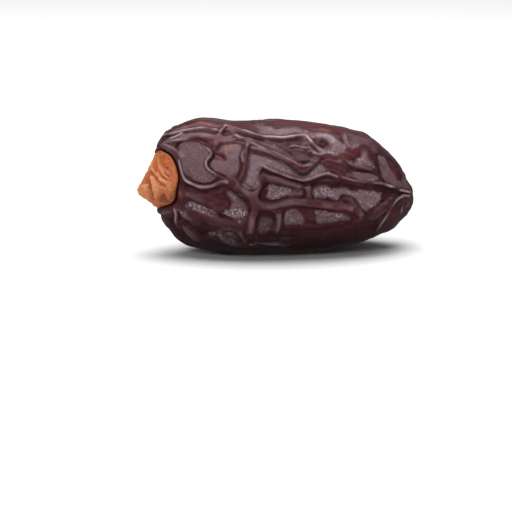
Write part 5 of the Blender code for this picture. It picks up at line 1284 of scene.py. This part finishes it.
def smooth_fruit(cuts_along, cuts_round):
    """The smooth body: its mesh, points, triangles and normals."""
    mesh = block_mesh(cuts_along, cuts_round)
    share, turn = share_and_turn(block_coordinates(mesh))
    points = smooth_body(share, turn, body_profiles())
    corners = corner_indices(mesh)
    normals = vertex_normals(points, corners)
    if np.sum(normals * points) < 0.0:
        bmesh.ops.reverse_faces(mesh, faces=mesh.faces)
        corners = corners[:, ::-1]
        normals = -normals
    return mesh, points, corners, normals


def model_body():
    """Points of the smooth body as coarse as the model's, and its search tree."""
    mesh, points, corners, _ = smooth_fruit(MODEL_ALONG, MODEL_ROUND)
    mesh.free()
    return points, surface_tree(points, corners)


def bloom_fields(points, normals):
    """How strong the grey bloom and the glints and sheen painted in its colour are, and how speckled, where
    the view shows the skin.
    """
    seen = to_pixels(points)
    facing = normals @ view_axes()[2] > SHOWN_FROM
    bloom_and_glints = np.zeros(len(points))
    speckle = np.zeros(len(points))
    for name, (strength, grain, soft, outline) in BLOOMS_AND_GLINTS.items():
        near = np.nonzero(facing & near_outline(seen, outline, 2.0 * soft))[0]
        if len(near) == 0:
            continue
        ragged = noise(points[near], 0.9, len(name)) + 0.6 * noise(points[near], 0.4, len(name) + 1)
        inside = outline_depth(seen[near], outline) + ragged * RAGGED_BLOOM * soft
        cover = smoothstep(-0.5 * soft, soft, inside)
        bloom_and_glints[near] = np.maximum(bloom_and_glints[near], strength * cover)
        speckle[near] = np.maximum(speckle[near], grain * cover)
    return bloom_and_glints, speckle


def above_surroundings(mesh, height, rounds):
    """How far the height at every vertex lies above the mean height around it."""
    ends = np.array([(edge.verts[0].index, edge.verts[1].index) for edge in mesh.edges])
    first, second = ends[:, 0], ends[:, 1]
    neighbours = np.bincount(ends.ravel(), minlength=len(height))
    around = height
    for _ in range(rounds):
        total = np.bincount(first, weights=around[second], minlength=len(height))
        total += np.bincount(second, weights=around[first], minlength=len(height))
        around = (around + total) / (1.0 + neighbours)
    return height - around


def fine_skin(points, speckle):
    """Height of the broad swells, of fine wrinkles on bare skin and of pebbles on speckled skin."""
    along = body_axes()[0]
    grainy = np.clip(speckle, 0.0, 1.0)
    drawn_out = points - 0.6 * np.outer(points @ along, along)
    swells = SWELL_HEIGHT * noise(points, SWELL_SIZE, SEED + 20)
    fine = FINE_HEIGHT * noise(drawn_out, FINE_SIZE, SEED + 21) * (1.0 - grainy)
    pebbles = noise(points, PEBBLE_SIZES[0], SEED + 22) + 0.8 * noise(points, PEBBLE_SIZES[1], SEED + 23)
    return swells + fine + PEBBLE_HEIGHT * pebbles * grainy


def settled(points, folds):
    """The folds' height, calmed towards the flat spot that the fruit rests on."""
    above_rest = points[:, 2] - points[:, 2].min()
    return folds * (1.0 - REST_CALMED * smoothstep(REST_CALM, REST_TRIM, above_rest))


def trimmed(points):
    """Points with the flat spot cut level."""
    level = points[:, 2].min() + REST_TRIM
    points[:, 2] = np.maximum(points[:, 2], level)
    return points


def bloom_finish(points, shown, inside, bloom_and_glints, speckle, raised):
    """Where the skin is bloomed and speckled, with glints and sheen painted in the bloom's colour: in the
    fields, and less so on the folds.
    """
    on_folds = smoothstep(0.15, 0.45, raised)
    dusty = (1.0 - shown) * inside * smoothstep(-0.75, 0.35, noise(points, 5.0, SEED + 24))
    return {
        "bloom_and_glints": shown * bloom_and_glints * (1.0 - 0.6 * on_folds) + 0.6 * dusty,
        "speckle": shown * speckle * (1.0 - 0.8 * on_folds) + 0.45 * dusty,
    }


def fold_finish(shown, inside, raised, pressed, edges, pale):
    """Painted shade in the creases and along the sunken fields' edges, painted highlights on the crests, and
    where the folds are.
    """
    # painted shade: dark in the pressed lines and along the sunken fields' edges
    crease_shade = 0.6 * smoothstep(0.05, 0.3, pressed - 0.7 * raised) + 0.5 * edges
    return {
        "pressed": shown * np.clip(crease_shade, 0.0, 1.0),
        "pale": shown * pale,
        "crest": shown * smoothstep(0.1, 0.45, raised) + 0.6 * (1.0 - shown) * (1.0 - inside),
    }


def height_finish(mesh, points, folds):
    """Painted shade where the skin lies in a hollow, a painted highlight where it stands out, and painted
    shade darkening it towards the underside.
    """
    relative = above_surroundings(mesh, folds, CAVITY_ROUNDS)
    height = points[:, 2] - points[:, 2].min()
    return {
        "cavity_shade": smoothstep(*CAVITY_DEPTHS, relative),
        "raised_highlight": smoothstep(*HIGHLIGHT_HEIGHTS, relative),
        "underside_shade": UNDERSIDE_SHADE * smoothstep(UNDERSIDE_TOP, UNDERSIDE_LOW, height),
    }


def fruit_surface(cuts_along, cuts_round, body, tree):
    """The wrinkled fruit: its mesh, points in millimetres and finish fields."""
    mesh, points, _, normals = smooth_fruit(cuts_along, cuts_round)
    shown = smoothstep(SHOWN_FROM, SHOWN_FULLY, normals @ view_axes()[2])
    bent = wandering(points, LINE_WANDER, WANDER_SIZE, SEED + 80)
    sunk, edges = sunken_fields(points, normals)
    pressed = pressed_lines(bent, tree)
    raised, pale = raised_folds(points, bent, tree)
    hidden, inside = hidden_relief(points, body[::SEEDING_STEP], normals)
    bloom_and_glints, speckle = bloom_fields(points, normals)
    seen = raised - FIELD_STRENGTH * sunk - LINE_STRENGTH * pressed - SKIN_DROP
    folds = shown * seen + (1.0 - shown) * hidden + fine_skin(points, speckle)
    dish, rules = dish_height(points, cap_edge(tree))
    folds = settled(points, folds * (1.0 - rules) + dish)
    fields = {
        **bloom_finish(points, shown, inside, bloom_and_glints, speckle, raised),
        **fold_finish(shown, inside, raised, pressed, edges, pale),
        **height_finish(mesh, points, folds),
        "slate": shown * area_field(points, normals, SLATES),
        "matt_and_shade": shown * area_field(points, normals, MATTS),
        "orange": spot_field(points, tree, ORANGE_SPOTS),
        "red": spot_field(points, tree, RED_SPOTS),
    }
    return mesh, trimmed(points + normals * folds[:, None]), fields


def round_the_cap(cube):
    """For places on the cube: angle from the cap's outer pole, share of the way to its edge, and the
    directions to its side and up."""
    warped = np.tan(cube * math.pi / 4.0)
    ball = warped / np.linalg.norm(warped, axis=1)[:, None]
    sideways = np.hypot(ball[:, 1], ball[:, 2])
    angle = np.arctan2(sideways, -ball[:, 0])
    quarter = math.pi / 2.0
    spread = np.where(angle < quarter, angle / quarter, (math.pi - angle) / quarter)
    return angle, spread, ball[:, 1] / np.maximum(sideways, 1e-9), ball[:, 2] / np.maximum(sideways, 1e-9)


def cap_tent(ratio, v, w, direction_w, edge):
    """The cap's height from 0 at its sides to 1 under its shown outline."""
    upright_reach = np.where(direction_w > 0.0, edge[1][0], edge[1][-1])
    height_share = np.clip(np.abs(w - CAP_MIDDLE_W) / upright_reach, 0.0, 0.999)
    aside_share = np.sqrt(np.clip(ratio ** 2 - height_share ** 2, 0.0, 1.0) / (1.0 - height_share ** 2))
    return 1.0 - np.clip(aside_share, 0.0, 1.0) ** np.where(v < 0.0, CAP_FRONT_CURVE, CAP_BACK_CURVE)


def unit(vectors):
    """Vectors brought to a length of one."""
    return vectors / np.linalg.norm(vectors, axis=1)[:, None]


def cap_rise(tree, w):
    """How far the cap rises over its seat at a height, up to its shown outline."""
    middle_seats = seat_on(tree, np.zeros(len(w)), w)
    rise = middle_seats @ body_axes()[0] - cap_crest(w) + DISH_DEPTH - CAP_GAP
    return np.maximum(rise, CAP_RIM)


def cap_finish(relief, ratio, w):
    """Painted shade where the cap is hollow, a painted highlight where it stands out, painted shade along
    the lower part of its edge, and where it lies low.
    """
    return {
        "hollow": smoothstep(0.0, -0.3, relief),
        "crest": smoothstep(0.1, 0.4, relief),
        "rim": smoothstep(0.9, 1.0, ratio) * smoothstep(0.0, -2.0, w),
        "low": smoothstep(-0.8, -3.2, w),
    }


def cap_surface(cuts, tree):
    """The dried cap: its mesh, its points in millimetres and its finish fields."""
    mesh = block_mesh(cuts, cuts)
    angle, spread, direction_v, direction_w = round_the_cap(block_coordinates(mesh))
    edge = cap_edge(tree)
    ratio = np.sin(spread * math.pi / 2.0) ** CAP_SPREAD
    reach = ratio * cap_reach(direction_v, direction_w + CAP_MIDDLE_W, edge)
    v = reach * direction_v
    w = reach * direction_w + CAP_MIDDLE_W
    outer = (angle < math.pi / 2.0)[:, None]
    round_edge = np.sqrt(np.clip(1.0 - spread ** 8, 0.0, 1.0))
    tent = cap_tent(ratio, v, w, direction_w, edge)
    thickness = (CAP_RIM + (cap_rise(tree, w) - CAP_RIM) * tent) * round_edge
    seats = seat_on(tree, v, w)
    outward = unit(seats - from_body([CAP_LEAN_U], [0.0], [0.0]))
    base = seats + outward * (CAP_GAP - DISH_DEPTH)
    lean = (tent * round_edge)[:, None]
    outer_way = unit(outward * (1.0 - lean) - body_axes()[0] * lean)
    smooth = np.where(outer, base + outer_way * thickness[:, None], base)
    relief = cap_relief(smooth, corner_indices(mesh)) * round_edge
    relief = np.maximum(relief, 0.3 * round_edge - thickness)
    points = np.where(outer, smooth + outer_way * relief[:, None], base)
    return mesh, points, cap_finish(relief, ratio, w)


def seat_on(tree, v, w):
    """The places on the smooth body at v and w on its stem end."""
    along = Vector(body_axes()[0])
    starts = from_body(np.full(len(v), OUTSIDE_U), v, w)
    return np.array([tree.ray_cast(Vector(start), along)[0][:] for start in starts])


def cap_relief(points, corners):
    """Height of the folds and dents of the dried cap."""
    tree = surface_tree(points, corners)
    bent = wandering(points, 0.12, 1.1, SEED + 60)
    relief = CAP_CRUMPLE * crumple(points)
    for width, height, pixels in CAP_RIDGES.values():
        relief += height * line_profile(bent, tree, width, pixels)
    for width, depth, pixels in CAP_CREASES.values():
        relief -= depth * line_profile(bent, tree, width, pixels)
    return relief


def crumple(points):
    """Folded paper-like relief of the dried cap, about -1 to 1."""
    bent = wandering(points, 0.7, 2.6, SEED + 30)
    sharp = 1.0 - 2.0 * np.abs(noise(bent, 2.2, SEED + 35))
    small = 1.0 - 2.0 * np.abs(noise(bent, 1.1, SEED + 36))
    fine = 1.0 - 2.0 * np.abs(noise(bent, 0.55, SEED + 37))
    return 0.35 * sharp + 0.38 * small + 0.27 * fine


def area_field(points, normals, areas):
    """1 inside the areas where the view shows the skin, easing to 0 over their soft edges."""
    seen = to_pixels(points)
    facing = normals @ view_axes()[2] > SHOWN_FROM
    field = np.zeros(len(points))
    for soft, outline in areas.values():
        near = np.nonzero(facing & near_outline(seen, outline, 2.0 * soft))[0]
        cover = smoothstep(-soft, soft, outline_depth(seen[near], outline))
        field[near] = np.maximum(field[near], cover)
    return field


def finished_mesh(name, mesh, points, fields):
    """Object with its points in metres and its finish fields on the vertices."""
    for vertex, point in zip(mesh.verts, points):
        vertex.co = Vector(point) * METRE
    bmesh.ops.recalc_face_normals(mesh, faces=mesh.faces)
    data = bpy.data.meshes.new(name)
    mesh.to_mesh(data)
    mesh.free()
    data.polygons.foreach_set("use_smooth", [True] * len(data.polygons))
    for label, values in fields.items():
        layer = data.attributes.new(label, "FLOAT", "POINT")
        layer.data.foreach_set("value", np.asarray(values, dtype=np.float32))
    item = bpy.data.objects.new(name, data)
    bpy.context.scene.collection.objects.link(item)
    return item


def spot_field(points, tree, spots):
    """Strength of coloured places, 0 to 1."""
    field = np.zeros(len(points))
    for strength, reach, pixels in spots:
        path = [cast_pixel(tree, pixel) for pixel in smooth_path(pixels)]
        near = np.nonzero(np.linalg.norm(points - path[0], axis=1) < SPOT_FARTHEST)[0]
        distance = distance_to_path(points[near], path)[0]
        edge = distance + 0.35 * reach * noise(points[near], 0.7 * reach, 3)
        field[near] = np.maximum(field[near], strength * np.exp(-(np.maximum(edge, 0.0) / reach) ** 2))
    return field


class Nodes:
    """Short hand for building a material's nodes."""

    def __init__(self, name):
        self.material = bpy.data.materials.new(name)
        self.material.use_nodes = True
        self.tree = self.material.node_tree
        self.shader = self.tree.nodes["Principled BSDF"]

    def link(self, source, target):
        """Join one socket to another."""
        self.tree.links.new(source, target)

    def put(self, socket, value):
        """Give a socket a number, a colour or another socket's value."""
        if isinstance(value, bpy.types.NodeSocket):
            self.link(value, socket)
        elif isinstance(value, tuple):
            socket.default_value = (*value, 1.0) if len(value) == 3 and socket.type == "RGBA" else value
        else:
            socket.default_value = value

    def position(self):
        """Coordinates on the object, in metres."""
        return self.tree.nodes.new("ShaderNodeTexCoord").outputs["Object"]

    def field(self, label):
        """One of the finish fields that the vertices carry."""
        node = self.tree.nodes.new("ShaderNodeAttribute")
        node.attribute_name = label
        return node.outputs["Fac"]

    def squeezed(self, along):
        """Object coordinates squeezed along the fruit, for streaks that run along it."""
        node = self.tree.nodes.new("ShaderNodeVectorMath")
        node.operation = "MULTIPLY"
        self.link(self.position(), node.inputs[0])
        node.inputs[1].default_value = (along, 1.0, 1.0)
        return node.outputs["Vector"]

    def noise(self, size_mm, detail=2.0, roughness=0.5, distortion=0.0, along=1.0):
        """Noise with swells about size_mm across, 0 to 1; along below 1 draws them out along the fruit."""
        node = self.tree.nodes.new("ShaderNodeTexNoise")
        self.link(self.squeezed(along), node.inputs["Vector"])
        node.inputs["Scale"].default_value = 1000.0 / size_mm
        node.inputs["Detail"].default_value = detail
        node.inputs["Roughness"].default_value = roughness
        node.inputs["Distortion"].default_value = distortion
        return node.outputs["Fac"]

    def cells(self, size_mm):
        """Distance within cells about size_mm across."""
        node = self.tree.nodes.new("ShaderNodeTexVoronoi")
        self.link(self.position(), node.inputs["Vector"])
        node.inputs["Scale"].default_value = 1000.0 / size_mm
        return node.outputs["Distance"]

    def math(self, operation, first, second, clamp=False):
        """One step of arithmetic; its result is held between 0 and 1 where clamp is set."""
        node = self.tree.nodes.new("ShaderNodeMath")
        node.operation = operation
        node.use_clamp = clamp
        self.put(node.inputs[0], first)
        self.put(node.inputs[1], second)
        return node.outputs[0]

    def times(self, first, second, clamp=False):
        """The product of two values."""
        return self.math("MULTIPLY", first, second, clamp)

    def plus(self, first, second):
        """The sum of two values."""
        return self.math("ADD", first, second)

    def span(self, value, low, high, to_low=0.0, to_high=1.0):
        """Ease value from low..high to to_low..to_high."""
        node = self.tree.nodes.new("ShaderNodeMapRange")
        node.interpolation_type = "SMOOTHSTEP"
        self.put(node.inputs["Value"], value)
        node.inputs["From Min"].default_value = low
        node.inputs["From Max"].default_value = high
        node.inputs["To Min"].default_value = to_low
        node.inputs["To Max"].default_value = to_high
        return node.outputs["Result"]

    def mix(self, share, first, second):
        """Mix two colours."""
        node = self.tree.nodes.new("ShaderNodeMix")
        node.data_type = "RGBA"
        node.clamp_factor = True
        self.put(node.inputs["Factor"], share)
        self.put(node.inputs["A"], first)
        self.put(node.inputs["B"], second)
        return node.outputs["Result"]

    def layered(self, colour, layers):
        """A colour with layers over it: a finish field, how strongly it covers, and the layer's colour."""
        for label, strength, shade in layers:
            colour = self.mix(self.times(self.field(label), strength), colour, shade)
        return colour

    def translucent(self, weight, radius):
        """Let light spread a little below the surface."""
        self.shader.inputs["Subsurface Weight"].default_value = weight
        self.shader.inputs["Subsurface Radius"].default_value = radius
        self.shader.inputs["Subsurface Scale"].default_value = SPREAD_DEPTH * METRE

    def bump(self, height, depth_mm, normal=None):
        """Bump from a 0 to 1 height that is depth_mm deep."""
        node = self.tree.nodes.new("ShaderNodeBump")
        node.inputs["Strength"].default_value = 1.0
        node.inputs["Distance"].default_value = depth_mm * METRE
        self.put(node.inputs["Height"], height)
        if normal is not None:
            self.link(normal, node.inputs["Normal"])
        return node.outputs["Normal"]


def bare_skin(nodes, broad, middling):
    """The bare skin's maroon: mottled, streaked along the fruit, lighter on the folds, redder in places."""
    streaks = nodes.noise(0.7, 4.0, 0.65, 0.3, 0.22)
    folds = nodes.times(nodes.field("crest"), nodes.span(broad, 0.3, 0.7, 0.35, 0.75))
    colour = nodes.mix(nodes.span(broad, 0.35, 0.65), SKIN["deep"], SKIN["maroon"])
    colour = nodes.mix(nodes.times(nodes.span(middling, 0.45, 0.7), 0.4), colour, SKIN["mottle"])
    colour = nodes.mix(nodes.times(nodes.span(streaks, 0.48, 0.66), 0.5), colour, SKIN["pale streak"])
    colour = nodes.mix(nodes.times(nodes.span(streaks, 0.46, 0.32), 0.5), colour, SKIN["dark streak"])
    colour = nodes.mix(folds, colour, SKIN["fold"])
    return nodes.mix(nodes.times(nodes.field("red"), 0.8), colour, SKIN["red"])


def bloomed(nodes, colour, bloom_and_glints, grain):
    """A colour under the powdery bloom and its dark and bright grains; the bright grains are partly the
    bloom's pale crystals and partly painted glints.
    """
    speckle = nodes.field("speckle")
    veil = nodes.mix(nodes.field("slate"), SKIN["veil"], SKIN["slate veil"])
    colour = nodes.mix(nodes.times(bloom_and_glints, 0.8), colour, veil)
    colour = nodes.mix(nodes.times(speckle, 0.3, True), colour, SKIN["haze"])
    dark = nodes.times(nodes.span(grain, 0.50, 0.40), nodes.times(speckle, 0.7, True))
    colour = nodes.mix(dark, colour, SKIN["dark grain"])
    # bright grains: pale crystals of the bloom, and painted glints on them
    clumps = nodes.span(nodes.noise(1.6, 3.0, 0.6), 0.42, 0.60)
    bright = nodes.times(nodes.span(grain, 0.50, 0.60), nodes.times(speckle, clumps))
    return nodes.mix(nodes.times(bright, 0.9, True), colour, SKIN["bright grain"])


def skin_roughness(nodes, bloom_and_glints, middling):
    """The skin's roughness: duller under the bloom, in creases and hollows and below."""
    rough = nodes.plus(nodes.times(bloom_and_glints, 0.16), nodes.span(middling, 0.3, 0.7, 0.28, 0.40))
    for label, more in SKIN_ROUGHER.items():
        rough = nodes.plus(rough, nodes.times(nodes.field(label), more))
    return rough


def skin_normal(nodes, middling, grain):
    """Bumps of the skin: its leathery grain, and pebbles where it is speckled."""
    pebbles = nodes.times(grain, nodes.plus(nodes.times(nodes.field("speckle"), 0.9), 0.12))
    height = nodes.plus(nodes.times(nodes.noise(0.35, 3.0, 0.6), 0.35), pebbles)
    return nodes.bump(middling, 0.06, nodes.bump(height, 0.07))


def date_skin():
    """Maroon leathery skin, glossy on the folds, with a speckled mauve-grey bloom in the sunken fields, and
    painted glints, highlights and shade.
    """
    nodes = Nodes("date skin")
    broad = nodes.noise(7.0, 3.0, 0.55)
    middling = nodes.noise(1.6, 4.0, 0.6)
    grain = nodes.noise(0.30, 3.0, 0.85)
    patchy = nodes.span(nodes.noise(1.1, 5.0, 0.7, 0.4), 0.36, 0.60, 0.7, 1.0)
    bloom_and_glints = nodes.times(nodes.field("bloom_and_glints"), patchy)
    colour = bloomed(nodes, bare_skin(nodes, broad, middling), bloom_and_glints, grain)
    # Painted highlight along the crests of the folds
    colour = nodes.mix(nodes.times(nodes.field("pale"), 0.85), colour, SKIN["pale crest"])
    mottled = nodes.times(nodes.field("orange"), nodes.span(grain, 0.40, 0.56, 0.35, 1.0))
    colour = nodes.mix(mottled, colour, SKIN["orange"])
    # Painted shade in the dull places, creases, hollows and underneath, and a painted highlight on raised
    # places
    nodes.link(nodes.layered(colour, SKIN_LAYERS), nodes.shader.inputs["Base Color"])
    nodes.link(skin_roughness(nodes, bloom_and_glints, middling), nodes.shader.inputs["Roughness"])
    nodes.link(skin_normal(nodes, middling, grain), nodes.shader.inputs["Normal"])
    nodes.shader.inputs["IOR"].default_value = SKIN_IOR
    nodes.shader.inputs["Specular Tint"].default_value = SKIN_GLINT
    nodes.translucent(0.08, (1.0, 0.22, 0.14))
    return nodes.material


def dried_husk():
    """Orange-tan husk of the cap with pale and pinkish freckles, painted shade in its hollows and at its
    lower edge, and painted highlights on its crests.
    """
    nodes = Nodes("dried cap")
    broad = nodes.noise(2.6, 3.0, 0.55)
    fine = nodes.noise(0.5, 4.0, 0.65)
    freckles = nodes.span(nodes.noise(0.34, 3.0, 0.6), 0.54, 0.66)
    colour = nodes.mix(nodes.span(broad, 0.35, 0.65), HUSK["orange"], HUSK["tan"])
    colour = nodes.mix(nodes.times(freckles, 0.35), colour, HUSK["freckle"])
    # darker towards the bottom, a painted highlight on the crests, painted shade in the hollows and along
    # the lower edge
    nodes.link(nodes.layered(colour, HUSK_LAYERS), nodes.shader.inputs["Base Color"])
    nodes.link(nodes.span(fine, 0.3, 0.7, 0.42, 0.60), nodes.shader.inputs["Roughness"])
    grain = nodes.plus(nodes.times(fine, 0.7), nodes.times(nodes.cells(0.5), 0.4))
    nodes.link(nodes.bump(grain, 0.09), nodes.shader.inputs["Normal"])
    nodes.translucent(0.12, (1.0, 0.45, 0.2))
    return nodes.material


def into_box(points, low, high):
    """Points brought into a box, keeping their form."""
    own_low = points.min(axis=0)
    own_high = points.max(axis=0)
    return low + (points - own_low) / (own_high - own_low) * (high - low)


def dress_fruit(body, tree):
    """The finely wrinkled fruit in place of the model's; gives how far the model moved it."""
    cuts = ((FINE_ALONG, FINE_ROUND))
    mesh, points, fields = fruit_surface(*cuts, body, tree)
    low, high = (np.array(corner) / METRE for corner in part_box("fruit"))
    shift = (low + high - points.min(axis=0) - points.max(axis=0)) / 2.0
    item = finished_mesh("fruit_skin", mesh, into_box(points, low, high), fields)
    item.data.materials.append(date_skin())
    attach(item, "root")
    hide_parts("fruit")
    return shift


def dress_cap(tree):
    """The crumpled dried cap in place of the model's."""
    mesh, points, fields = cap_surface(FINE_CAP, tree)
    low, high = (np.array(corner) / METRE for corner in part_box("calyx"))
    item = finished_mesh("calyx_husk", mesh, into_box(points, low, high), fields)
    item.data.materials.append(dried_husk())
    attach(item, "root")
    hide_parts("calyx")


def floor():
    """Plain pale floor."""
    mesh = bmesh.new()
    bmesh.ops.create_grid(mesh, x_segments=2, y_segments=2, size=FLOOR_HALF)
    data = bpy.data.meshes.new("floor")
    mesh.to_mesh(data)
    mesh.free()
    item = bpy.data.objects.new("floor", data)
    bpy.context.scene.collection.objects.link(item)
    nodes = Nodes("pale floor")
    nodes.shader.inputs["Base Color"].default_value = (FLOOR_GREY, FLOOR_GREY, FLOOR_GREY, 1.0)
    nodes.shader.inputs["Roughness"].default_value = FLOOR_ROUGHNESS
    data.materials.append(nodes.material)
    item.visible_glossy = False


def softbox(name, place, aim, size, watts):
    """A square soft light."""
    data = bpy.data.lights.new(name, "AREA")
    data.shape = "SQUARE"
    data.size = size
    data.energy = watts
    item = bpy.data.objects.new(name, data)
    item.location = place
    item.rotation_euler = (Vector(aim) - Vector(place)).to_track_quat("-Z", "Y").to_euler()
    bpy.context.scene.collection.objects.link(item)


def studio():
    """Soft light from above and a little behind, a weaker fill in front, and a dim surround."""
    for name, (place, aim, size, watts) in LIGHTS.items():
        softbox(name, place, aim, size, watts)
    world = bpy.data.worlds.new("surround")
    world.use_nodes = True
    background = world.node_tree.nodes["Background"]
    background.inputs["Color"].default_value = (1.0, 1.0, 1.0, 1.0)
    background.inputs["Strength"].default_value = SURROUND_STRENGTH
    bpy.context.scene.world = world
    bpy.context.scene.view_settings.view_transform = "Standard"


def camera(shift):
    """Camera at the viewing angle of the folds' view."""
    right, up, back = view_axes()
    data = bpy.data.cameras.new("view")
    data.sensor_width = SENSOR_MM
    data.lens = SENSOR_MM * PX_PER_MM * VIEW_DISTANCE / FRAME_PX
    data.clip_start = 0.01
    data.clip_end = 20.0
    item = bpy.data.objects.new("view", data)
    turned = Matrix((right.tolist(), up.tolist(), back.tolist())).transposed().to_4x4()
    turned.translation = Vector((view_point() + shift) * METRE)
    item.matrix_world = turned
    bpy.context.scene.collection.objects.link(item)
    bpy.context.scene.camera = item


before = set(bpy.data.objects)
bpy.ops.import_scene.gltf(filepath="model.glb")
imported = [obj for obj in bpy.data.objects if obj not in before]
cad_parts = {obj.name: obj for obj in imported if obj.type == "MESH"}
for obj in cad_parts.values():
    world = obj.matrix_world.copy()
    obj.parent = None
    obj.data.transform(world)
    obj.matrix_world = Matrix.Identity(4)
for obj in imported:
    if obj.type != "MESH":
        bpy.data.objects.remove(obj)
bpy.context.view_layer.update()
smooth_points, smooth_tree = model_body()
lie_shift = dress_fruit(smooth_points, smooth_tree)
dress_cap(smooth_tree)
floor()
studio()
camera(lie_shift)
